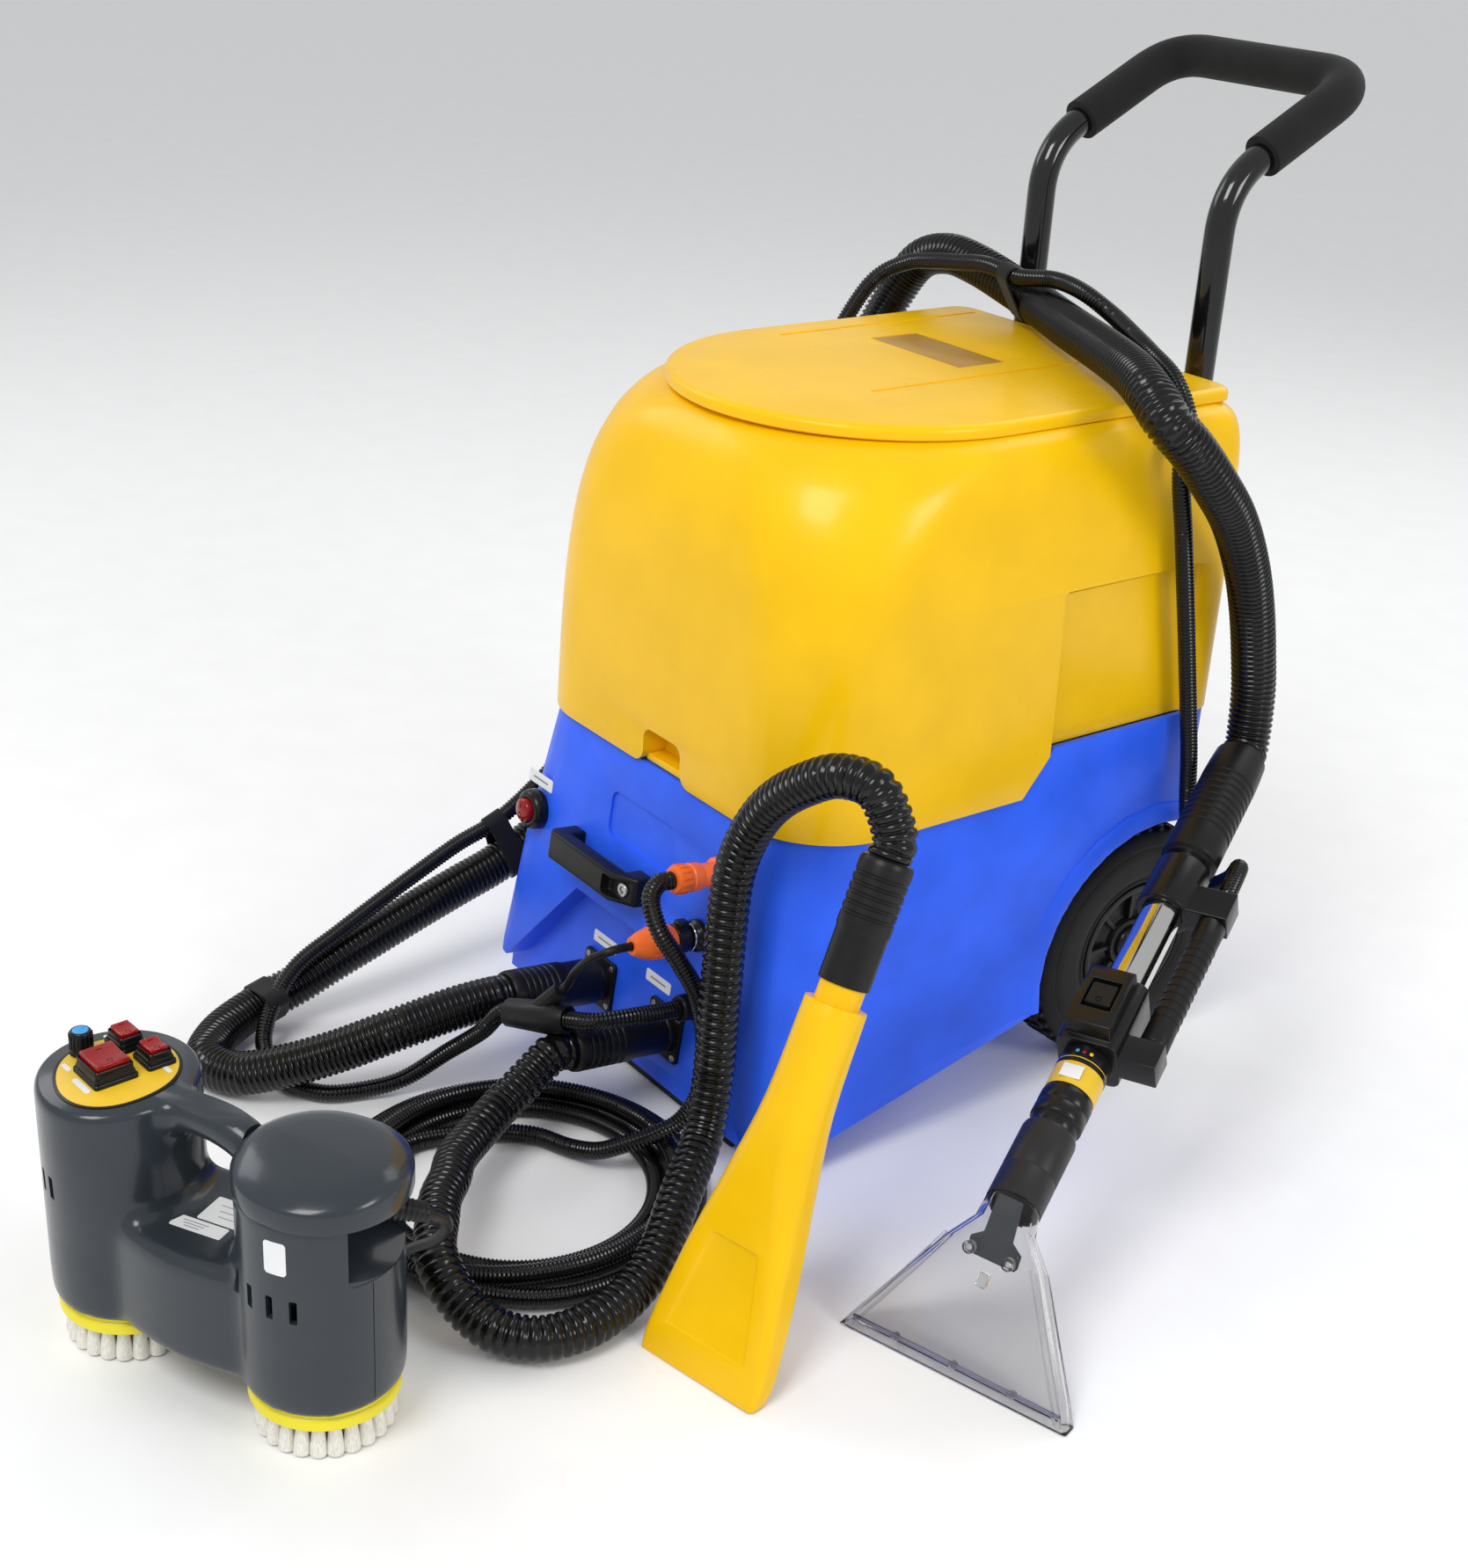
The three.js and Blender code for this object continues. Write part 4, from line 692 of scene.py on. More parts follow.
def curve_through(route, per_span=14):
    route = [p * MM for p in route]
    ends = [route[0] * 2 - route[1], *route, route[-1] * 2 - route[-2]]
    curve = []
    for i in range(len(route) - 1):
        curve += [eased(*ends[i:i + 4], step / per_span) for step in range(per_span)]
    return [*curve, route[-1]]


def length_along(curve):
    total, lengths = 0.0, [0.0]
    for a, b in zip(curve, curve[1:]):
        total += (b - a).length
        lengths.append(total)
    return lengths


def respaced(curve, distances):
    """Points and directions at the given distances along a curve."""
    lengths = length_along(curve)
    out, i = [], 0
    for distance in distances:
        while i < len(lengths) - 2 and lengths[i + 1] < distance:
            i += 1
        span = lengths[i + 1] - lengths[i] or 1e-9
        out.append(curve[i].lerp(curve[i + 1], min(1, max(0, (distance - lengths[i]) / span))))
    ahead = []
    for i in range(len(out)):
        ahead.append((out[min(i + 1, len(out) - 1)] - out[max(i - 1, 0)]).normalized())
    return out, ahead


def tube_mesh(name, places, ahead, radii, sides):
    """A closed tube whose section doesn't twist along its way."""
    mesh = bmesh.new()
    side = ahead[0].orthogonal().normalized()
    circle = [(math.cos(2 * math.pi * i / sides), math.sin(2 * math.pi * i / sides)) for i in range(sides)]
    before = None
    for place, direction, radius in zip(places, ahead, radii):
        side = (side - direction * side.dot(direction)).normalized()
        other = direction.cross(side)
        ring = [mesh.verts.new(place + (side * c + other * s) * radius) for c, s in circle]
        if before:
            for i in range(sides):
                j = (i + 1) % sides
                mesh.faces.new((before[i], before[j], ring[j], ring[i]))
        else:
            mesh.faces.new(list(reversed(ring)))
        before = ring
    mesh.faces.new(before)
    data = bpy.data.meshes.new(name)
    mesh.normal_update()
    mesh.to_mesh(data)
    mesh.free()
    piece = bpy.data.objects.new(name, data)
    bpy.context.scene.collection.objects.link(piece)
    return piece


def ridged_hose(name, route, diameter, pitch, sides, depth, shape=(0.18, 0.32, 0.68, 0.82)):
    """A corrugated hose: round-shouldered ridges with narrow valleys between them."""
    curve = curve_through(route)
    length = length_along(curve)[-1]
    count = round(length / pitch)
    step = length / count
    crest, valley = diameter / 2, diameter / 2 - depth
    marks = [(shape[0] / 2, valley), (shape[1], crest - depth * 0.12), (0.5, crest),
             (shape[2], crest - depth * 0.12), (1 - shape[0] / 2, valley)]
    distances, radii = [0.0], [valley]
    for i in range(count):
        for part, radius in marks:
            distances.append((i + part) * step)
            radii.append(radius)
    distances.append(length)
    radii.append(valley)
    places, ahead = respaced(curve, distances)
    return tube_mesh(name, places, ahead, radii, sides), curve, length


def smooth_cable(name, route, diameter, sides=12, spacing=0.004):
    curve = curve_through(route)
    length = length_along(curve)[-1]
    count = round(length / spacing)
    places, ahead = respaced(curve, [length * i / count for i in range(count + 1)])
    return tube_mesh(name, places, ahead, [diameter / 2] * len(places), sides), curve, length


def lay_cord(piece, curve, replaces, material,
             path_step=6):
    finish(piece, piece.name, material, replaces=replaces, angle=50)
    path = [tuple(p) for p in curve[::path_step]]
    if (Vector(path[-1]) - curve[-1]).length > 1e-7:
        path.append(tuple(curve[-1]))
    return piece


# ---------- straps round the hoses ----------
def hull_outline(circles, steps=40):
    """The outline of a band pulled tight round circles of [x, y, radius]."""
    cloud = [(x + r * math.cos(2 * math.pi * i / steps), y + r * math.sin(2 * math.pi * i / steps))
             for x, y, r in circles for i in range(steps)]
    cloud = sorted(set(cloud))

    def half(items):
        chain = []
        for p in items:
            while len(chain) > 1:
                (ax, ay), (bx, by) = chain[-2], chain[-1]
                if (bx - ax) * (p[1] - ay) - (by - ay) * (p[0] - ax) > 0:
                    break
                chain.pop()
            chain.append(p)
        return chain[:-1]
    return half(cloud) + half(cloud[::-1])


def evened(outline, count=48):
    closed = [Vector((*p, 0)) for p in outline + outline[:1]]
    lengths = length_along(closed)
    spots, _ = respaced(closed, [lengths[-1] * i / count for i in range(count)])
    return [(p.x, p.y) for p in spots]


def strap(name, centre, direction, circles, width, thickness=1.6):
    """A band of webbing pulled round cords that cross the plane at the centre."""
    place = basis(centre, direction.orthogonal(), direction)
    inverse = place.inverted()
    flat = [((inverse @ (Vector(c) * MM)) / MM, r) for c, r in circles]
    outer = evened(hull_outline([(p.x, p.y, r + thickness) for p, r in flat]))
    inner = evened(hull_outline([(p.x, p.y, r) for p, r in flat]))
    half = width / 2
    rings = [[(x, y, z) for x, y in line] for line, z in (
        (inner, -half), (outer, -half + 0.6), (outer, half - 0.6), (inner, half))]
    piece = lofted(rings, open_ends=True)
    edit(piece)
    bpy.ops.mesh.select_all(action="DESELECT")
    bpy.ops.mesh.select_mode(type="EDGE")
    mesh = bmesh.from_edit_mesh(piece.data)
    for edge in mesh.edges:
        edge.select = edge.is_boundary
    bmesh.update_edit_mesh(piece.data)
    bpy.ops.mesh.bridge_edge_loops()
    bpy.ops.mesh.select_mode(type="VERT")
    bpy.ops.mesh.select_all(action="SELECT")
    bpy.ops.mesh.normals_make_consistent(inside=False)
    bpy.ops.object.mode_set(mode="OBJECT")
    return finish(moved(piece, place), name, strap_web(), angle=50)


def strap_web():
    return surface("strap webbing", (0.006, 0.006, 0.0065), 0.75, grain=1800, depth=0.0003,
                   mottle=0.25, Specular_IOR_Level=0.3, Sheen_Weight=0.1, Sheen_Roughness=0.4)


# ---------- operators ----------
class CLEANER_OT_stage(bpy.types.Operator):
    """Sets up the camera, the floor and soft studio lights"""
    bl_idname = "cleaner.stage"
    bl_label = "Stage"

    def execute(self, context):
        camera_data = bpy.data.cameras.new("camera")
        camera_data.lens, camera_data.sensor_width, camera_data.sensor_fit = 49.69, 36, "AUTO"
        camera_data.clip_start, camera_data.clip_end = 0.05, 50
        camera = bpy.data.objects.new("camera", camera_data)
        context.scene.collection.objects.link(camera)
        forward = Vector((-0.71859, 0.55829, -0.41467)).normalized()
        level = Vector((0.6134, 0.7897, 0)).normalized()
        upright = level.cross(forward)
        roll = math.radians(3.38)
        right = level * math.cos(roll) + upright * math.sin(roll)
        up = upright * math.cos(roll) - level * math.sin(roll)
        turn = Matrix((right, up, -forward)).transposed().to_4x4()
        turn.translation = Vector((1.4732, -1.0691, 1.1404))
        camera.matrix_world = turn
        context.scene.camera = camera
        deselect()
        context.scene.view_settings.view_transform = "Standard"
        bpy.ops.mesh.primitive_plane_add(size=90, location=(0, 0, -0.0012))
        floor = context.object
        floor.name = "floor"
        floor.data.materials.append(surface("pale floor", (0.94, 0.94, 0.94), 0.6, grain=40,
                                            depth=0.00005, mottle=0.01))
        world = bpy.data.worlds.new("studio")
        context.scene.world = world
        world.use_nodes = True
        sky = world.node_tree.nodes["Background"]
        sky.inputs["Color"].default_value = (0.98, 0.99, 1.0, 1)
        seen = world.node_tree.nodes.new("ShaderNodeLightPath")
        strength = add_node(world.node_tree, "ShaderNodeMapRange")
        strength.inputs["To Min"].default_value = 0.62
        strength.inputs["To Max"].default_value = 1.0
        world.node_tree.links.new(seen.outputs["Is Camera Ray"], strength.inputs["Value"])
        world.node_tree.links.new(strength.outputs["Result"], sky.inputs["Strength"])
        self.light("key", (0.9, -2.1, 3.0), 54, 1.3)
        self.light("side", (2.9, 0.7, 1.7), 22, 0.9)
        self.light("left", (-2.6, -1.0, 2.2), 15, 1.4)
        self.light("back", (-0.3, 2.6, 2.4), 22, 2.0)
        return {"FINISHED"}

    @staticmethod
    def light(name, place, power, size):
        data = bpy.data.lights.new(name, "AREA")
        data.energy, data.size = power, size
        lamp = bpy.data.objects.new(name, data)
        bpy.context.scene.collection.objects.link(lamp)
        lamp.location = place
        aim = Vector((0.1, 0, 0.35)) - lamp.location
        lamp.rotation_euler = aim.to_track_quat("-Z", "Y").to_euler()


class CLEANER_OT_cords(bpy.types.Operator):
    """Lays the corrugated hoses, the conduits, the solution tube and the brush lead"""
    bl_idname = "cleaner.cords"
    bl_label = "Hoses and conduits"

    def execute(self, context):
        size = hoses()
        black = hose_plastic()
        hose, curve, length = ridged_hose("suction_hose_ridges", SUCTION_ROUTE, size.suction,
                                          size.suction_pitch, 26, 0.0021)
        lay_cord(hose, curve, ["suction_hose"], black)
        hose, curve, length = ridged_hose("drying_hose_ridges", DRYING_ROUTE, size.drying,
                                          size.drying_pitch, 32, 0.0024, (0.16, 0.26, 0.74, 0.84))
        lay_cord(hose, curve, ["drying_hose"], black)
        hose, curve, length = ridged_hose("wand_conduit_ridges", WAND_CONDUIT_ROUTE, size.conduit,
                                          size.conduit_pitch, 12, 0.0011)
        lay_cord(hose, curve, ["wand_conduit"], black)
        hose, curve, length = ridged_hose("brush_conduit_ridges", coil_route(), size.conduit,
                                          size.conduit_pitch, 12, 0.0011)
        lay_cord(hose, curve, ["brush_conduit", "conduit_coil"],
                 black, path_step=7)
        tube, curve, length = smooth_cable("solution_tube_line", SOLUTION_ROUTE, size.tube)
        lay_cord(tube, curve, ["solution_tube"], satin_black())
        lead, curve, length = smooth_cable("brush_lead_line", LEAD_ROUTE, size.lead, 16)
        lay_cord(lead, curve, ["brush_lead"], satin_black())
        return {"FINISHED"}


# ---------- mouldings ----------
def pipe(path, radius, resolution=10):
    """A round bar through points in millimetres, with closed ends."""
    deselect()
    bpy.ops.curve.primitive_nurbs_path_add(radius=0.1)
    bar = bpy.context.object
    bar.location = (0, 0, 0)
    bar.data.splines.clear()
    spline = bar.data.splines.new("POLY")
    spline.points.add(len(path) - 1)
    for knot, place in zip(spline.points, path):
        knot.co = (*(Vector(place) * MM), 1)
    bar.data.dimensions = "3D"
    bar.data.bevel_depth, bar.data.bevel_resolution = radius * MM, resolution
    bar.data.use_fill_caps = True
    only(bar)
    bpy.ops.object.convert(target="MESH")
    bar = bpy.context.object
    tidy_mesh(bar)
    return bar


def level_section(z, front, rear, half, front_round, rear_round, steps=14):
    """A level section of a moulding with one radius at its front corners and one at the rear."""
    corners = ((half - front_round, front + front_round, front_round, -90),
               (half - rear_round, rear - rear_round, rear_round, 0),
               (-half + rear_round, rear - rear_round, rear_round, 90),
               (-half + front_round, front + front_round, front_round, 180))
    ring = []
    for x, y, radius, start in corners:
        for i in range(steps + 1):
            turn = math.radians(start + 90 * i / steps)
            ring.append((x + radius * math.cos(turn), y + radius * math.sin(turn), z))
    return ring


def filled_rows(rows, per_gap=4):
    """Rows of numbers with smooth rows between them; the first number is the height."""
    out = []
    for i in range(len(rows) - 1):
        before, a = rows[max(i - 1, 0)], rows[i]
        b, after = rows[i + 1], rows[min(i + 2, len(rows) - 1)]
        for step in range(per_gap):
            t = step / per_gap
            row = [a[0] + (b[0] - a[0]) * t]
            for k in range(1, len(a)):
                rise = b[0] - a[0]
                slope_a = (b[k] - before[k]) / ((b[0] - before[0]) or 1) * rise
                slope_b = (after[k] - a[k]) / ((after[0] - a[0]) or 1) * rise
                row.append((2 * t ** 3 - 3 * t ** 2 + 1) * a[k] + (t ** 3 - 2 * t ** 2 + t) * slope_a
                           + (3 * t ** 2 - 2 * t ** 3) * b[k] + (t ** 3 - t ** 2) * slope_b)
            out.append(row)
    return [*out, list(rows[-1])]


def shrunk(row, by):
    z, front, rear, half, front_round, rear_round = row
    return (z, front + by, rear - by, half - by, max(front_round - by, 4), max(rear_round - by, 4))


def side_profile(outline, x0, x1):
    """An outline in Y and Z, raised along X."""
    return lofted([[(x0, y, z) for y, z in outline], [(x1, y, z) for y, z in outline]])


def axle_place(side, x):
    """The wheel frame: its Z points out of the machine at the axle."""
    return basis((x, AXLE_Y, WHEEL_RADIUS), (0, side, 0), (side, 0, 0))


class CLEANER_OT_base(bpy.types.Operator):
    """Moulds the blue base and its rubber foot"""
    bl_idname = "cleaner.base"
    bl_label = "Base"

    def execute(self, context):
        edge = trim().shell_edge
        base = bevelled(copy_of("base_housing"), edge, 3, 34)
        finish(base, "base_shell", blue_plastic(), replaces=["base_housing"])
        foot = bevelled(copy_of("front_foot"), 0.002, 2, 34)
        finish(foot, "rubber_foot", rubber(), replaces=["front_foot"])
        return {"FINISHED"}


class CLEANER_OT_wheels(bpy.types.Operator):
    """Turns the tyres, cuts their tread and adds the rims with their hub caps"""
    bl_idname = "cleaner.wheels"
    bl_label = "Wheels"

    def execute(self, context):
        for side, name in ((-1, "left"), (1, "right")):
            place = axle_place(side, side * WHEEL_OUTER)
            self.tyre(name, place)
            self.rim(name, place)
        return {"FINISHED"}

    @staticmethod
    def tyre(name, place):
        outer = [(66.4, -6), (68, -2.5), (71, -1.2), (72.2, -2.2), (74, -2.2), (75.2, -1), (82, 0),
                 (96, 0), (104, -1), (105, -2), (107, -2), (108, -1.2), (113, -3), (117.5, -6.5),
                 (120, -11), (120.8, -17), (121, -24), (121, -31)]
        profile = outer + [(r, -62 - z) for r, z in reversed(outer[:-1])]
        tyre = turned(profile, 96)
        lug = raised([(-2.8, -5.5), (2.2, -5.5), (3.4, 5.5), (-1.6, 5.5)], 0, 3.3, 0.7, 2)
        shoulder = moved(copied(lug, Matrix()), basis((120.6, 0, -12.5), (0, 1, 0), (1, 0, 0)))
        shoulder = turn_copies(shoulder, 46)
        low = copied(shoulder, Matrix.Rotation(math.pi / 46, 4, "Z") @ Matrix.Translation((0, 0, -0.037)))
        middle = moved(lug, basis((120.6, 0, -31), (0, 1, 0.55), (1, 0, 0)))
        middle = turn_copies(middle, 46)
        deselect()
        tyre = moved(joined(tyre, shoulder, low, middle), place)
        finish(tyre, name + "_tyre_tread", rubber(), name + "_wheel", [name + "_tyre"])

    @staticmethod
    def rim(name, place):
        disc = turned([(0, -40), (66, -40), (66, -4), (65, -2), (62, -1.2), (59.5, -2), (58.5, -4.5),
                       (57, -12), (50, -16), (30, -17), (26, -15), (24, -9), (22, -8), (0, -8)], 72)
        rib = block(26, 57, -2.4, 2.4, -20, -9.5, 1.2, 2)
        ribs = turn_copies(rib, 8)
        cap = turned([(0, -9), (18.6, -9), (19.4, -7.8), (19.4, -5), (18.4, -3.2), (17.6, -3.2),
                      (16.8, -2.2), (14, 0.2), (9, 1.8), (4, 2.5), (0, 2.6)], 56)
        bore = turned([(0, -60), (8.4, -60), (8.4, -14), (0, -14)], 32)
        disc = carve(disc, bore)
        rim = moved(joined(disc, ribs), place)
        finish(rim, name + "_rim_disc", satin_black(), name + "_wheel", [name + "_rim"])
        finish(moved(cap, place), name + "_hub_cap", black_plastic(), name + "_wheel")


TANK_ROWS = [(308, -22, 482, 225, 90, 30), (440, -21, 486, 222, 95, 30), (520, -17, 490, 219, 102, 30),
             (580, -11, 492, 215, 120, 30), (618, -2, 494, 211, 142, 30), (640, 8, 493, 206, 160, 30),
             (653, 20, 489, 199, 172, 30), (660, 34, 481, 188, 178, 30)]
TANK_WALL, TANK_TOP, LID_TOP = 6, 660, 673
LID_RADIUS, LID_CENTRE, LID_REAR = 188, 206, 486


def lid_outline(inset, steps=48):
    ring = []
    for i in range(steps + 1):
        turn = math.pi * (1 + i / steps)
        radius = LID_RADIUS - inset
        ring.append((radius * math.cos(turn), LID_CENTRE + radius * math.sin(turn)))
    half, rear, corner = LID_RADIUS - inset, LID_REAR - inset, 18
    for side in (1, -1):
        for i in range(7):
            turn = math.radians((0 if side > 0 else 90) + 15 * i)
            ring.append((side * (half - corner) + corner * math.cos(turn),
                         rear - corner + corner * math.sin(turn)))
    return ring


class CLEANER_OT_tank(bpy.types.Operator):
    """Moulds the yellow recovery tank and its lid"""
    bl_idname = "cleaner.tank"
    bl_label = "Recovery tank"

    def execute(self, context):
        edge = trim().shell_edge
        rows = filled_rows(TANK_ROWS)
        shell = lofted([level_section(*row) for row in rows])
        inner_rows = [shrunk(row, TANK_WALL) for row in rows if row[0] < 654]
        hollow = lofted([level_section(*row) for row in inner_rows])
        hollow = carve(hollow, self.under_seam(TANK_WALL), block(-20, 50, -100, 10, 0, 371))
        for side in (-1, 1):
            x = sorted((side * 208, side * 400))
            hollow = carve(hollow, block(*x, 256, 446, 0, 526))
        shell = carve(shell, self.under_seam(0), hollow, self.catch_notch())
        for side in (-1, 1):
            x = sorted((side * 214, side * 400))
            shell = carve(shell, block(*x, 262, 440, 0, 520, 5))
        shell = carve(shell, raised(lid_outline(34), 600, 800),
                      moved(turned([(0, 0), (24, 0), (24, 400), (0, 400)], 40),
                            Matrix.Translation(middle_of("suction_riser"))))
        shell = bevelled(shell, edge * 0.7, 3, 40)
        ledge = block(-19, 49, -14, 8, 328.8, 336, 1.5)
        finish(ledge, "notch_ledge", yellow_plastic())
        finish(shell, "tank_shell", yellow_plastic(), replaces=["recovery_tank"])
        self.lid()
        return {"FINISHED"}

    @staticmethod
    def catch_notch(left=-14, right=44, seam=328.4, top=365, steps=8):
        """The cutter for the notch in the front edge, flared where it meets the seam."""
        flare, corner = 14, 11
        outline = [(right + flare, seam - 40), (left - flare, seam - 40)]
        for x, z, radius, start, stop in (
                (left - flare, seam + flare, flare, -90, 0), (left + corner, top - corner, corner, 180, 90),
                (right - corner, top - corner, corner, 90, 0),
                (right + flare, seam + flare, flare, 180, 270)):
            for i in range(steps + 1):
                turn = math.radians(start + (stop - start) * i / steps)
                outline.append((x + radius * math.cos(turn), z + radius * math.sin(turn)))
        return lofted([[(x, y, z) for x, z in outline] for y in (-100, 4)])

    @staticmethod
    def under_seam(shift):
        far = 900
        return side_profile([(-far, -far), (far, -far), (far, 371.4 + shift), (268, 371.4 + shift),
                             (232, 328.4 + shift), (-far, 328.4 + shift)], -far, far)

    @staticmethod
    def lid():
        layers = [(1.2, TANK_TOP + 0.4), (0, TANK_TOP + 1.6), (0, LID_TOP - 5.5), (0.6, LID_TOP - 3.4),
                  (2, LID_TOP - 1.6), (4.2, LID_TOP - 0.4), (7, LID_TOP)]
        lid = lofted([[(x, y, z) for x, y in lid_outline(inset)] for inset, z in layers])
        skirt = raised(lid_outline(35), TANK_TOP - 10, TANK_TOP + 2)
        lid = carve(joined_solid(lid, skirt), block(-152.5, -147.5, 216, 470, LID_TOP - 2, LID_TOP + 9, 1.4),
                    block(54.5, 59.5, 158, 412, LID_TOP - 2, LID_TOP + 9, 1.4),
                    block(-105, 24, 290, 350, LID_TOP - 1.5, LID_TOP + 9, 0.8),
                    raised(lid_outline(41), TANK_TOP - 30, LID_TOP - 7))
        finish(lid, "lid_shell", yellow_plastic(), replaces=["tank_lid"], angle=30)
        pad = block(-103.5, 22.5, 291.5, 348.5, LID_TOP - 1.6, LID_TOP - 0.5, 0.4, 2)
        finish(pad, "lid_pad", surface("amber pad", (0.42, 0.22, 0.02), 0.35, grain=500))


def middle_of(node):
    low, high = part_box(node)
    return Vector(((low[0] + high[0]) / 2, (low[1] + high[1]) / 2, 0))


HANDLE_HALF, HANDLE_Y, HANDLE_BEND, HANDLE_TOP, HANDLE_REACH, HANDLE_CORNER = 118, 512, 842, 928, 168, 46


def handle_spans(per_bend=14):
    """The push handle from its left foot to its right foot, as spans of points."""
    slope = Vector((0, HANDLE_REACH, HANDLE_TOP - HANDLE_BEND)).normalized() * HANDLE_CORNER
    down = Vector((0, 0, -HANDLE_CORNER))
    left, right = Vector((-HANDLE_HALF, HANDLE_Y, HANDLE_BEND)), Vector((HANDLE_HALF, HANDLE_Y, HANDLE_BEND))
    reach = Vector((0, HANDLE_REACH, HANDLE_TOP - HANDLE_BEND))
    far_left, far_right = left + reach, right + reach
    inward = Vector((HANDLE_CORNER, 0, 0))

    def bend(a, b, c):
        return [a.lerp(b, t).lerp(b.lerp(c, t), t) for t in (i / per_bend for i in range(per_bend + 1))]
    return [
        [Vector((-HANDLE_HALF, HANDLE_Y, 215)), left + down],
        bend(left + down, left, left + slope),
        [left + slope, far_left - slope],
        bend(far_left - slope, far_left, far_left + inward),
        [far_left + inward, far_right - inward],
        bend(far_right - inward, far_right, far_right - slope),
        [far_right - slope, right + slope],
        bend(right + slope, right, right + down),
        [right + down, Vector((HANDLE_HALF, HANDLE_Y, 215))],
    ]


def strung(spans):
    out = list(spans[0])
    for span in spans[1:]:
        out += span[1:]
    return out


class CLEANER_OT_push_handle(bpy.types.Operator):
    """Bends the push handle, with its foam grip, cross bar and feet"""
    bl_idname = "cleaner.push_handle"
    bl_label = "Push handle"

    def execute(self, context):
        spans = handle_spans()
        bar = pipe(strung(spans), 14)
        strip = block(-HANDLE_HALF, HANDLE_HALF, HANDLE_Y - 6, HANDLE_Y + 6, 250, 278, 2.5)
        feet = [block(s * HANDLE_HALF - 16, s * HANDLE_HALF + 16, 480.4, HANDLE_Y + 2, 240, 288, 4)
                for s in (-1, 1)]
        finish(joined(bar, strip, *feet), "handle_frame", gloss_black(), replaces=["push_handle"])
        middle = strung(spans[2:7])
        first, last = middle[0].lerp(middle[1], 0.04), middle[-1].lerp(middle[-2], 0.04)
        grip = pipe([first, *middle[1:-1], last], 20.5, 14)
        grip = bevelled(grip, 0.004, 4, 50)
        finish(grip, "foam_grip", foam(), replaces=["handle_grip"])
        bolt = turned([(0, 0), (5.6, 0), (5.6, 2.4), (4.8, 3.2), (2.6, 3.4), (2.6, 1.4), (0, 1.4)], 24)
        for s in (-1, 1):
            for z in (252, 276):
                place = basis((s * (HANDLE_HALF + 16), 497, z), (0, 1, 0), (s, 0, 0))
                finish(copied(bolt, place), f"foot_bolt_{'l' if s < 0 else 'r'}_{z}", steel())
        bpy.data.objects.remove(bolt)
        return {"FINISHED"}


def screw_head(diameter):
    """A countersunk cross-head screw, its face at height 0."""
    r = diameter / MM / 2
    head = turned([(0, -1.6), (r * 0.5, -1.6), (r, 0), (r * 0.94, 0.5), (r * 0.6, 0.95), (0, 1.1)], 20)
    for turn in (0, math.pi / 2):
        arm = block(-r * 0.62, r * 0.62, -r * 0.13, r * 0.13, 0.3, 3)
        head = carve(head, moved(arm, Matrix.Rotation(turn, 4, "Z")))
    return head


def label_card(width, height, radius=2, thickness=0.5):
    return raised(rounded(width, height, radius, 4), 0, thickness, 0.12, 1)


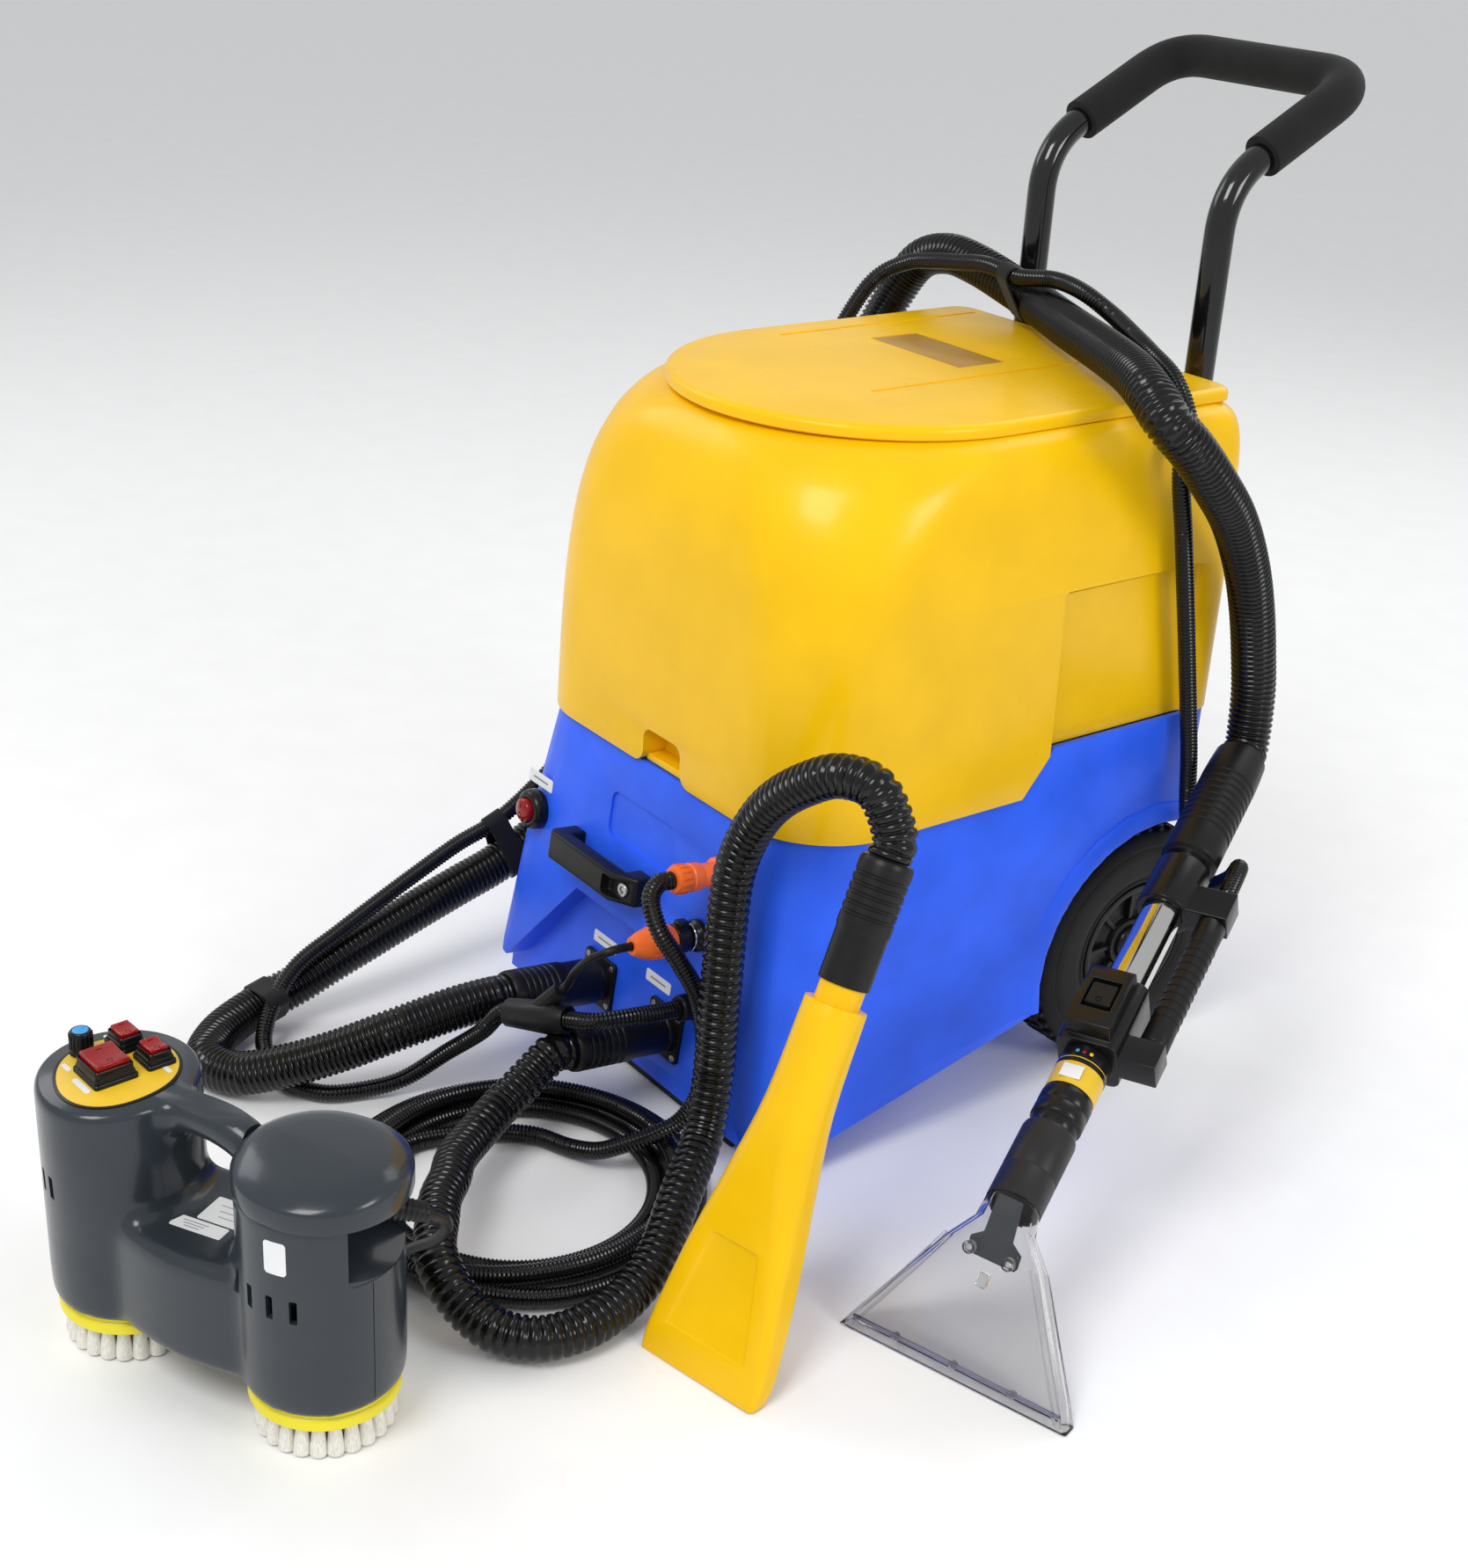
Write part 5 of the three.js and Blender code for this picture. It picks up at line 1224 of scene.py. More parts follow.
class CLEANER_OT_front_panel(bpy.types.Operator):
    """Fits the switch, pull handle, sockets, couplers, screws and blank labels"""
    bl_idname = "cleaner.front_panel"
    bl_label = "Front panel"

    def execute(self, context):
        self.switch()
        self.pull()
        head = screw_head(trim().screw)
        self.socket("suction", 52, 17, 10, 13, head)
        self.socket("drying", 52, 17, 10, 13, head)
        self.socket("wand_power", 36, 9, 26, 6, head)
        bpy.data.objects.remove(head)
        self.cuff("suction", 22.5, 15)
        self.cuff("drying", 20.5, 13)
        self.coupler()
        self.brush_coupler()
        self.branch()
        self.labels()
        return {"FINISHED"}

    @staticmethod
    def switch():
        place = on_panel(SWITCH_X, SWITCH_Z)
        bezel = turned([(11.4, -12), (13.6, -12), (13.6, 0.4), (20, 0.4), (20.4, 2), (20, 8), (19, 11.2),
                        (17, 13.2), (15, 14), (13.2, 13.8), (12.2, 12.6), (12.2, 3), (11.4, 3)], 64)
        finish(moved(bezel, place), "switch_ring", black_plastic(), replaces=["switch_bezel"])
        button = turned([(0, -8), (4, -8), (4, 7.4), (11.6, 7.4), (11.6, 17.4), (11, 18.6), (9.4, 19.6),
                         (6.2, 20.7), (3, 21.3), (0, 21.5)], 56)
        button = carve(button, block(-0.7, 0.7, 2.4, 7.4, 20, 23), moved(
            turned([(2.1, 19), (3.2, 19), (3.2, 24), (2.1, 24)], 28), Matrix.Translation((0, -0.0045, 0))))
        finish(moved(button, place), "switch_button", red_plastic(), "button", ["power_button"])

    @staticmethod
    def pull():
        handle = bevelled(copy_of("pull_handle"), 0.0024, 4, 34)
        handle = carve(handle, tool(on_panel(PULL_X, PULL_Z), 30, 62, -9.5, 9.5, 23, 60, edge=3))
        finish(handle, "pull_grip", satin_black(), replaces=["pull_handle"])
        ring = turned([(3.4, 0), (6.4, 0), (6.8, 0.8), (6.8, 2.2), (6.2, 3), (3.6, 3)], 32)
        core = turned([(0, 0.4), (3.2, 0.4), (3.2, 1.8), (2.2, 2.4), (0, 2.5)], 24)
        place = on_panel(PULL_X, PULL_Z) @ Matrix.Translation(Vector((53, 0, 23)) * MM)
        finish(moved(joined(ring, core), place), "pull_screw", steel())

    @staticmethod
    def socket(name, flange, r, reach, hole, head):
        z = POWER_SOCKET_Z if name == "wand_power" else HOSE_SOCKET_Z
        place = on_panel(HOSE_SOCKETS[name], z, lower_panel_y)
        plate = raised(rounded(flange, flange, 5, 8), 0.4, 4, 1.1, 3)
        sleeve = turned([(hole, -14), (r, -14), (r, 3.5), (r + 3.5, 3.6), (r + 3.5, reach - 2.4),
                         (r + 3, reach - 1), (r + 2, reach), (hole, reach)], 48)
        if name == "wand_power":
            nut = raised([(12.6 * math.cos(math.radians(a)), 12.6 * math.sin(math.radians(a)))
                          for a in range(0, 360, 60)], 3.8, 12, 0.8)
            hole_cut = turned([(0, -5), (r - 0.5, -5), (r - 0.5, 30), (0, 30)], 32)
            sleeve = joined(sleeve, carve(nut, hole_cut))
        finish(moved(joined(plate, sleeve), place), name + "_flange", satin_black(),
               replaces=[name + "_socket"])
        off = flange / 2 - 6
        for i, (u, v) in enumerate(((off, off), (-off, off), (-off, -off), (off, -off))):
            spot = place @ Matrix.Translation(Vector((u, v, 4)) * MM) @ Matrix.Rotation(0.4 + i, 4, "Z")
            finish(copied(head, spot), f"{name}_screw_{i + 1}", steel())

    @staticmethod
    def cuff(name, r, bore):
        start, end = 10.4, CUFF_REACH
        profile = [(bore, start), (r - 1, start), (r, start + 1), (r, start + 33), (r + 0.7, start + 36),
                   (r + 1.5, start + 38.5)]
        for i in range(6):
            z = start + 50 + i * 7
            profile += [(r + 1.5, z), (r + 0.5, z + 1), (r + 0.5, z + 2.2), (r + 1.5, z + 3.2)]
        profile += [(r + 1.5, end - 5), (r + 1, end - 2), (r - 0.4, end), (bore, end)]
        place = on_panel(HOSE_SOCKETS[name], HOSE_SOCKET_Z, lower_panel_y)
        finish(moved(turned(profile, 56), place), name + "_hose_cuff",
               satin_black(), replaces=[name + "_cuff"])

    @staticmethod
    def coupler():
        place = on_panel(COUPLER_X, COUPLER_Z)
        body = turned([(4, -10), (8.6, -10), (8.6, 0.4), (14.4, 0.4), (15, 1), (15, 5), (14, 6.4), (11.4, 8),
                       (11, 9), (11, 15), (12, 17), (14, 18), (14, 29.4), (13.4, 30), (4, 30)], 40)
        tab = block(-5, 5, 12, 17.6, 16, 28, 1.4)
        finish(moved(joined(body, tab), place), "quick_coupler", black_plastic(),
               replaces=["solution_coupler"])
        nut = turned([(4.4, 30.4), (12.4, 30.4), (13, 31), (14.5, 34), (14.5, 57), (13.8, 59), (12, 66),
                      (10, 70), (8.5, 73.6), (8, 74.4), (4.4, 74.4)], 40)
        rib = block(13.6, 15.3, -1.1, 1.1, 36, 56, 0.5, 2)
        nut = joined(nut, turn_copies(rib, 14))
        finish(moved(nut, place), "orange_nut", orange_plastic(), replaces=["coupler_nut"])
        clip = pipe([(math.cos(math.radians(a)) * 12.4, math.sin(math.radians(a)) * 12.4, 12)
                     for a in range(-60, 241, 12)], 1.1, 4)
        finish(moved(clip, place), "coupler_clip", chrome())

    @staticmethod
    def brush_coupler():
        place = on_panel(PLUG_X, PLUG_Z)
        body = turned([(4, -10), (8.6, -10), (8.6, 0.4), (14.4, 0.4), (15, 1), (15, 5), (14, 6.6), (11, 8),
                       (11, 24), (12.4, 24.6), (13, 25.6), (13, 34), (12.2, 35), (12.2, 37), (13, 38),
                       (13, 49), (11.6, 51.4), (10, 52), (4, 52)], 40)
        rib = block(12.4, 13.8, -1, 1, 39.5, 48.5, 0.4, 2)
        finish(moved(joined(body, turn_copies(rib, 14)), place), "brush_plug", orange_plastic(),
               replaces=["brush_coupler"])

    @staticmethod
    def branch():
        piece = bevelled(copy_of("conduit_branch"), 0.0012, 3, 30)
        finish(piece, "branch_boot", satin_black(), replaces=["conduit_branch"])

    @staticmethod
    def labels():
        for name, x, z, w, h in (("switch", -178, 247, 42, 13), ("suction", -69, 114, 40, 12),
                                 ("drying", 22, 114, 40, 12), ("coupler", 128, 232, 24, 9)):
            height = panel_y if z > 165 else lower_panel_y
            card = moved(label_card(w, h), on_panel(x, z, height))
            finish(card, name + "_label", label_paper())
            bar = moved(label_card(w * 0.62, h * 0.16, 0.8, 0.12),
                        on_panel(x, z, height) @ Matrix.Translation((0, 0, 0.0005)))
            finish(bar, name + "_label_bar", faint_print())


# ---------- wand ----------
def at_wand(x, y, z):
    return WAND @ Matrix.Translation(Vector((x, y, z)) * MM)


# Rows up the clear nozzle: the part of the way from lip to neck, half width, thickness and how far
# its depth has turned from level to square with the wand.
NOZZLE_ROWS = ((0, 106, 15, 0), (0.1, 98, 15, 0.1), (0.72, 45, 26, 0.6), (0.88, 26, 38, 0.85), (1, 23, 46, 1))
NECK = WAND_BOTTOM - WAND_AXIS * 0.4


def nozzle_row(part):
    for low, high in zip(NOZZLE_ROWS, NOZZLE_ROWS[1:]):
        if part <= high[0]:
            t = (part - low[0]) / (high[0] - low[0])
            return [a + (b - a) * t for a, b in zip(low[1:], high[1:])]
    return list(NOZZLE_ROWS[-1][1:])


def nozzle_face(x, part):
    """A point on the front face of the clear nozzle."""
    _, thick, turn = nozzle_row(part)
    level = Vector((0, 0, 1)).cross(LIP_ACROSS).normalized()
    square = WAND_AXIS.cross(LIP_ACROSS).normalized()
    deep = level.lerp(square, turn).normalized()
    return LIP_CENTRE.lerp(NECK, part) + LIP_ACROSS * x - deep * (thick / 2)


def nozzle_out(part):
    up = nozzle_face(0, part + 0.03) - nozzle_face(0, part - 0.03)
    return LIP_ACROSS.cross(up).normalized()


def on_nozzle(x, part):
    return basis(nozzle_face(x, part), LIP_ACROSS, nozzle_out(part))


class CLEANER_OT_wand(bpy.types.Operator):
    """Builds the extraction wand, its switch, grip, clamp and clear floor nozzle"""
    bl_idname = "cleaner.wand"
    bl_label = "Wand"

    def execute(self, context):
        self.tube()
        self.switch_box()
        self.grip()
        self.nozzle()
        return {"FINISHED"}

    @staticmethod
    def part(name, profile, material, node, slot, steps=56):
        finish(moved(turned(profile, steps), WAND), name, material, replaces=[node])

    def tube(self):
        self.part("wand_chrome", [(16.5, 62), (18, 62), (18, 418), (16.5, 418)], chrome(), "wand_tube",
                  "chrome", 64)
        self.part("wand_sleeve", [(19, 0), (22.6, 0), (23.5, 1), (23.5, 30), (23, 31), (23, 33), (23.5, 34),
                                  (23.5, 74), (22.8, 77), (21.6, 78), (18.4, 78), (18.4, 60), (19, 58)],
                  dark_sleeve(), "nozzle_sleeve", "dark_sleeve")
        self.part("wand_ring", [(18.4, 78.4), (19.6, 78.4), (20, 79), (20, 87.4), (22, 88.6), (22.5, 89.4),
                                (22.5, 100), (21.9, 101), (21.9, 103), (22.5, 104), (22.5, 113.4),
                                (21.9, 115), (21.5, 116.5), (21.5, 160), (18.4, 160)],
                  black_plastic(), "wand_collar", "black_plastic")
        cuff = [(15, 418.4), (18.4, 418.4), (18.4, 404), (22, 404), (23, 405), (23, 407), (25.4, 408.4),
                (26, 410)]
        for i in range(9):
            z = 440 + i * 8.5
            cuff += [(26, z), (24.8, z + 1.2), (24.8, z + 3), (26, z + 4.2)]
        cuff += [(26, 520), (25.4, 536), (24.5, 550), (23.6, 551), (15, 551)]
        self.part("wand_hose_cuff", cuff, satin_black(), "wand_cuff", "dark_sleeve")

    @staticmethod
    def switch_box():
        box = bevelled(copy_of("wand_switch_box"), 0.0022, 3, 34)
        finish(box, "switch_housing", black_plastic(), replaces=["wand_switch_box"])
        key = lofted([[(x, y, z) for x, z in ring] for y, ring in (
            (4.5, rounded(23, 24, 2)), (0, rounded(23, 24, 2)), (-3.4, rounded(22.4, 23.4, 2)),
            (-4.5, rounded(20.6, 21.6, 2)))])
        bar = block(-1, 1, -6, -3.9, 4.6, 9.6, 0.2, 1)
        ring_place = Matrix.Translation(Vector((0, -4.6, -6.6)) * MM) @ Matrix.Rotation(math.pi / 2, 4, "X")
        ring = moved(turned([(2, -1), (3, -1), (3, 1), (2, 1)], 28), ring_place)
        key = carve(key, bar, ring)
        finish(moved(key, at_wand(0, -39, 200)), "wand_switch_key", satin_black(), "wand_switch",
               ["wand_rocker"])
        band = turned([(21.6, 118), (22, 118.3), (22, 146.7), (21.6, 147)], 56)
        finish(moved(band, WAND), "collar_band", panel_yellow())
        stripe = turned([(21.9, 141), (22.3, 141.2), (22.3, 145.6), (21.9, 145.8)], 56)
        finish(moved(stripe, WAND), "collar_stripe", black_plastic())
        card = tool(at_wand(0, -22.2, 130), -9, 9, -0.6, 0.3, -7, 7, edge=0.3, segments=2)
        finish(card, "collar_card", label_paper())
        dot = turned([(0, 0), (1.7, 0), (1.7, 0.4), (1.3, 0.7), (0, 0.8)], 20)
        paints = (("a", 8, 153, yellow_plastic), ("b", 2, 153, red_plastic), ("c", -4, 153, blue_cap))
        for name, x, z, paint in paints:
            y = -math.sqrt(21.5 ** 2 - x * x) + 0.1
            place = at_wand(x, y, z) @ basis((0, 0, 0), (0, 0, 1), (x, y, 0))
            finish(copied(dot, place), "collar_dot_" + name, paint())
        bpy.data.objects.remove(dot)

    @staticmethod
    def grip():
        grip = turned([(0, 190), (10, 190), (12.2, 191), (13, 193), (12.6, 215), (12.4, 260), (12.6, 320),
                       (13, 337), (12.2, 339), (10, 339.6), (0, 339.6)], 40)
        rib = turned([(12.2, -1), (13, -0.6), (13, 0.6), (12.2, 1)], 40)
        ribs = [copied(rib, Matrix.Translation((0, 0, (220 + i * 9) * MM))) for i in range(11)]
        bpy.data.objects.remove(rib)
        grip = moved(joined(grip, *ribs), at_wand(46, 0, 0))
        finish(grip, "side_grip", satin_black(), replaces=["wand_grip"])
        clamp = bevelled(copy_of("wand_clamp"), 0.0016, 3, 34)
        finish(clamp, "wand_band", black_plastic(), replaces=["wand_clamp"])

    def nozzle(self):
        shell = bevelled(copy_of("floor_nozzle"), 0.0008, 2, 30)
        finish(shell, "nozzle_shell", clear_plastic(), replaces=["floor_nozzle"])
        self.nozzle_ribs()
        boss = turned([(0, -2.2), (5.4, -2.2), (5.4, 3.6), (4.8, 4.2), (3.6, 4.2), (3.6, 0.6), (0, 0.6)], 32)
        screw = turned([(0, 0.7), (2.6, 0.7), (2.6, 1.8), (1.8, 2.6), (0, 2.7)], 24)
        for x, name in ((-17.8, "left"), (17.8, "right")):
            finish(copied(boss, on_nozzle(x, 0.7)), f"jet_boss_{name}", clear_plastic())
            finish(copied(screw, on_nozzle(x, 0.7)), f"jet_screw_{name}", steel())
        jet = tool(on_nozzle(2, 0.575), -4.5, 4.5, -6, 6, -1, 6, edge=1.2)
        finish(jet, "spray_jet", clear_plastic())
        knob = turned([(0, -2), (3.6, -2), (3.6, 1.8), (2.8, 2.6), (1.4, 2.6), (1.4, 1.4), (0, 1.4)], 24)
        for i in (-1, 0, 1):
            finish(copied(knob, on_nozzle(54.4 * i, 0.076)), f"lip_knob_{i + 2}", clear_plastic())
        for spare in (boss, screw, knob):
            bpy.data.objects.remove(spare)
        seal = pipe([nozzle_face(x, 0.076) - nozzle_out(0.076) * 1.0 for x in (-96, 0, 96)], 1.7)
        finish(seal, "lip_seal", surface("seal strip", (0.16, 0.155, 0.24), 0.3, grain=500))
        plate = [(0.66, 21), (0.68, 23), (0.74, 23), (0.78, 13), (0.96, 11)]
        rings = [[nozzle_face(side * half, part) - nozzle_out(part) * depth
                  for side, depth in ((-1, 7), (1, 7), (1, 8.4), (-1, 8.4))] for part, half in plate]
        finish(lofted(rings), "jet_plate", surface("slate plate", (0.05, 0.06, 0.075), 0.3, grain=500))

    @staticmethod
    def nozzle_ribs():
        ribs = []
        for side in (-1, 1):
            for inset in (3.4, 9.4):
                parts = [0.03 + 0.69 * i / 12 for i in range(13)]
                ribs.append(pipe([nozzle_face(side * (nozzle_row(part)[0] - inset), part)
                                  for part in parts], 1.2, 4))
        finish(joined(*ribs), "nozzle_ribs", clear_plastic())


class CLEANER_OT_air_nozzle(bpy.types.Operator):
    """Moulds the flat yellow air nozzle and its cuff"""
    bl_idname = "cleaner.air_nozzle"
    bl_label = "Air nozzle"

    def execute(self, context):
        rows = [(0, 60, 20, 5), (20, 61, 24, 7), (100, 49, 38, 12), (165, 38, 48, 21), (230, 28, 50, 23),
                (314, 25.5, 51, 24)]
        body = lofted(self.rings(filled_rows(rows), 0))
        inner = [list(row) for row in filled_rows(rows)]
        inner[0][0], inner[-1][0] = -8, 309
        body = carve(body, lofted(self.rings(inner, 3)))
        body = carve(moved(body, AIR), self.recess())
        body = bevelled(body, 0.0014, 2, 40)
        spigot = moved(turned([(16, 309), (19, 309), (19, 361), (16, 361)], 40), AIR)
        finish(joined(body, spigot), "air_nozzle_shell", yellow_plastic(), replaces=["air_nozzle"])
        cuff = [(19.4, 331), (21, 331), (21.5, 331.6), (21.5, 373), (22, 375.4), (22.5, 377)]
        for i in range(5):
            z = 386 + i * 8
            cuff += [(22.5, z), (21.5, z + 1), (21.5, z + 2.6), (22.5, z + 3.6)]
        top = (AIR_TOP - AIR_TIP).length
        cuff += [(22.5, top - 5), (22, top - 2), (21, top), (14, top), (14, 361.4), (19.4, 361.4)]
        finish(moved(turned(cuff, 48), AIR), "air_hose_cuff", satin_black(), replaces=["air_cuff"])
        return {"FINISHED"}

    @staticmethod
    def rings(rows, wall):
        """Rings across the nozzle: level with the floor at the mouth, square with the axis above."""
        level = (AIR.to_3x3().inverted() @ Vector((0, 0, 1)).cross(AIR_ACROSS)).normalized()
        rings = []
        for z, half, thick, corner in rows:
            turn = min(1, max(0, 0.4 * z / 20 if z < 20 else 0.4 + 0.6 * (z - 20) / 80))
            deep = level.lerp(Vector((0, 1, 0)), turn).normalized()
            outline = rounded((half - wall) * 2, thick - 2 * wall, min(corner, (thick - 2 * wall) / 2.1), 8)
            rings.append([Vector((x, 0, z)) + deep * y for x, y in outline])
        return rings

    @staticmethod
    def recess():
        """A shallow panel sunk in the front face, wider towards the mouth."""
        cutter = lofted([[(x, y, z) for x, y, z in ring] for ring in (
            [(-43, -11.4, 24), (43, -11.4, 24), (24, -18.2, 112), (-24, -18.2, 112)],
            [(-44.5, -40, 23), (44.5, -40, 23), (25, -40, 114), (-25, -40, 114)])])
        return moved(bevelled(cutter, 0.003, 3, 50), AIR)


# ---------- hand brush ----------
BARREL, CAP_FROM, BARREL_TOP, BARREL_LOW, WEB_TOP = 62, 212, 236, 43, 140
PANEL_TURN, POCKET_TURN = math.radians(-18), math.radians(4)
KEYS = (("main", -2, -11, 30, 27, 9), ("brush", -20, 28, 19, 15, 7), ("spray", 14, 24, 19, 15, 7))
VENTS = {"right": (-125, -106, -87, -69), "left": (-128, -115, -102)}
CORNER_TURN = math.radians(-72)   # the blunt corner of the left barrel


class CLEANER_OT_brush(bpy.types.Operator):
    """Moulds the twin-head hand brush with its keys, knob, cap and bristles"""
    bl_idname = "cleaner.brush"
    bl_label = "Hand brush"

    def execute(self, context):
        self.body()
        self.cap()
        self.control_panel()
        for side, name in ((-1, "left"), (1, "right")):
            self.head(side, name)
        self.cards()
        self.lead_boot()
        return {"FINISHED"}

    @staticmethod
    def waist(inset, steps=20):
        """The outline between the barrels: it bulges in the middle and has a groove at each end."""
        def half_depth(u):
            return 40 if abs(u) > 62 else 51 + 9 * math.cos(math.pi * u / 124)
        outline = []
        for side in (1, -1):
            for i in range(2 * steps + 1):
                u = side * (i / steps - 1) * BARREL_HALF
                outline.append((u, -side * (half_depth(u) - inset)))
        return outline

    @staticmethod
    def barrel(side, rows):
        """A barrel from its rows of height, radius and how far its blunt corner stands out."""
        rings = []
        for z, radius, corner in rows:
            ring = []
            for i in range(80):
                turn = 2 * math.pi * i / 80
                r = radius + corner * max(0, math.cos(turn - CORNER_TURN)) ** 4
                ring.append((side * BARREL_HALF + r * math.cos(turn), r * math.sin(turn), z))
            rings.append(ring)
        return lofted(rings)

    def body(self):
        left = self.barrel(-1, [(43, 60, 0), (51, 61.4, 0), (70, 62, 0), (110, 62, 1), (150, 62, 4),
                                (190, 62, 6), (230, 62, 6.4), (233.6, 60.4, 6), (236, 57, 5)])
        right = self.barrel(1, [(43, 60, 0), (51, 61.4, 0), (67, 62, 0), (210.5, 62, 0), (212, 60.5, 0)])
        saddle = lofted([[(x, y, z) for x, y in self.waist(inset)] for inset, z in (
            (2, 47), (0, 55), (0, 128), (1.4, 134), (5, 138.4), (10, 140))])
        bar = pipe([(-88, 0, 204), (-72, 0, 213), (-56, 0, 218), (-42, 0, 221.6), (-28, 0, 224),
                    (-14, 0, 225.6), (0, 0, 226), (13, 0, 224.4), (26, 0, 221), (36, 0, 215.4),
                    (46, 0, 208), (56, 0, 198.4), (68, 0, 184)], 16, 8)
        shape = joined_solid(left, right, saddle, bar)
        shape = applied(shape, "REMESH", mode="VOXEL", voxel_size=0.0024, use_smooth_shade=True)
        shape = applied(shape, "DISPLACE", strength=0.011, mid_level=0.0)
        shape = applied(shape, "REMESH", mode="VOXEL", voxel_size=0.0024, use_smooth_shade=True)
        shape = applied(shape, "SMOOTH", factor=0.5, iterations=4)
        shape = applied(shape, "DISPLACE", strength=-0.011, mid_level=0.0)
        shape = applied(shape, "REMESH", mode="VOXEL", voxel_size=0.0022, use_smooth_shade=True)
        shape = applied(shape, "SMOOTH", factor=0.5, iterations=8)
        hollow = joined_solid(
            self.barrel(-1, [(20, 57, 0), (229, 56, 0), (231, 53, 0)]),
            self.barrel(1, [(20, 57, 0), (205, 57, 0), (206, 54, 0)]),
            raised(self.waist(9), 20, 131))
        pocket_place = Matrix.Translation((BARREL_HALF * MM, 0, 0)) @ Matrix.Rotation(POCKET_TURN, 4, "Z")
        hollow = carve(hollow, tool(pocket_place, 20, 90, -42, 42, 150, 260))
        flat_top = block(-200, 200, -100, 100, 234.6, 260)
        seat = self.barrel(1, [(209, 63.6, 0), (260, 63.6, 0)])
        shape = carve(shape, hollow, flat_top, seat,
                      tool(pocket_place, 24, 90, -36, 36, 157, 260, edge=5, segments=4))
        for side, turns, low in ((1, VENTS["right"], 129), (-1, VENTS["left"], 147)):
            for turn in turns:
                place = (Matrix.Translation((side * BARREL_HALF * MM, 0, 0))
                         @ Matrix.Rotation(math.radians(turn), 4, "Z"))
                shape = carve(shape, tool(place, 50, 80, -3, 3, low, low + 20, edge=1.2, segments=2))
        parting = (Matrix.Translation((BARREL_HALF * MM, 0, 0))
                   @ Matrix.Rotation(math.radians(-13.5), 4, "Z"))
        shape = carve(shape, tool(parting, 60.6, 80, -0.35, 0.35, 30, 156))
        wedge = lofted([[(x, y, z) for x, z in ((20, 155), (61, 155), (61, 157.6), (20, 176))]
                        for y in (-35.6, 35.6)])
        wedge = combined(moved(wedge, pocket_place), self.barrel(1, [(150, 61.4, 0), (180, 61.4, 0)]),
                         "INTERSECT")
        finish(moved(wedge, BRUSH), "pocket_floor", grey_plastic())
        finish(moved(shape, BRUSH), "brush_housing", grey_plastic(), replaces=["brush_body"],
               angle=50)

    @staticmethod
    def cap():
        def ring(inset, z, steps=72):
            out = []
            for i in range(steps):
                turn = 2 * math.pi * i / steps
                visor = 7 * max(0, math.cos(turn - POCKET_TURN))
                r = BARREL + 1 + visor - inset
                out.append((BARREL_HALF + r * math.cos(turn), r * math.sin(turn), z))
            return out
        rows = ((1.6, 209.6), (0.4, 210.6), (0, 212.6), (0, 226), (0.7, 228.6), (2.2, 231.4), (4.4, 234),
                (8, 236.8), (13, 239), (20, 240.6), (30, 241.4), (45, 241.8), (62, 242))
        rings = []
        for inset, z in rows:
            fall = max(0, min(1, (z - 226) / 10))
            rings.append([(x, y, z - fall * (0.085 * max(0, -y) + 0.025 * max(0, y)))
                          for x, y, _ in ring(inset, z)])
        cap = lofted(rings)
        finish(moved(cap, BRUSH), "brush_cap_shell", grey_plastic(), replaces=["brush_cap"],
               angle=30)

    def control_panel(self):
        def teardrop(grow):
            ring = []
            for i in range(72):
                turn = 2 * math.pi * i / 72
                reach = 45 + grow + 9 * max(0, math.cos(turn - CORNER_TURN)) ** 4
                ring.append((-BARREL_HALF + reach * math.cos(turn), reach * math.sin(turn)))
            return ring
        rim = raised(teardrop(2.6), BARREL_TOP - 3, BARREL_TOP - 0.5, 0.3, 2)
        finish(moved(rim, BRUSH), "panel_rim", black_plastic())
        face = raised(teardrop(0), BARREL_TOP - 2.6, BARREL_TOP, 0.3, 2)
        finish(moved(face, BRUSH), "panel_face", panel_yellow())
        for name, u, v, long, wide, tall in KEYS:
            place = on_brush(u - BARREL_HALF, v, BARREL_TOP, PANEL_TURN)
            lip = 8.4 + tall * 0.52
            steps = ((9, 0), (9, 3), (8.2, 3.6), (6, 3.8), (6, 6.4), (5.4, 7), (4.2, 7.2), (4.2, lip - 0.6),
                     (3.4, lip))
            boot = lofted([[(x, y, z) for x, y in rounded(long + grow, wide + grow, 3)] for grow, z in steps])
            boot = carve(boot, raised(rounded(long + 2.2, wide + 2.2, 1.2), 3.4, 30))
            finish(moved(boot, place), name + "_key_boot", black_plastic())
            half, base = long / 2, -tall / 2 - 2
            side = [(-half, 0), (-half + 2, base), (half - 2, base), (half, 0), (half, tall / 2),
                    (half * 0.5, tall / 2 - 0.9), (0, tall / 2 - 1.3), (-half * 0.5, tall / 2 - 0.9),
                    (-half, tall / 2)]
            key = lofted([[(x, y, z) for x, z in side] for y in (-wide / 2, wide / 2)])
            key = bevelled(key, 0.0011, 3, 40)
            key = carve(key, block(-half * 0.62 - 0.5, -half * 0.62 + 0.5, -2.4, 2.4, tall / 2 - 1.4, 20),
                        moved(turned([(1.5, -5), (2.3, -5), (2.3, 9), (1.5, 9)], 24),
                              Matrix.Translation(Vector((half * 0.6, 0, tall / 2 - 0.9 + 4)) * MM)))
            lift = Matrix.Translation((0, 0, (6 + tall / 2 + 2.4) * MM))
            finish(moved(key, place @ lift), name + "_key", red_plastic(), name + "_switch",
                   [name + "_rocker"])
        dial = turned([(0, 0), (9, 0), (9.5, 0.6), (9.5, 3), (8.8, 4), (8.4, 17), (8, 19), (7.2, 19.8),
                       (6.6, 19.9), (6.6, 19.2), (0, 19.2)], 48)
        dial = joined(dial, turn_copies(block(8.2, 9.3, -0.7, 0.7, 4.6, 17.6, 0.3, 1), 18))
        place = BRUSH @ Matrix.Translation(Vector((-38 - BARREL_HALF, 0, BARREL_TOP + 0.4)) * MM)
        finish(moved(dial, place), "speed_dial", black_plastic(), "knob", ["speed_knob"])
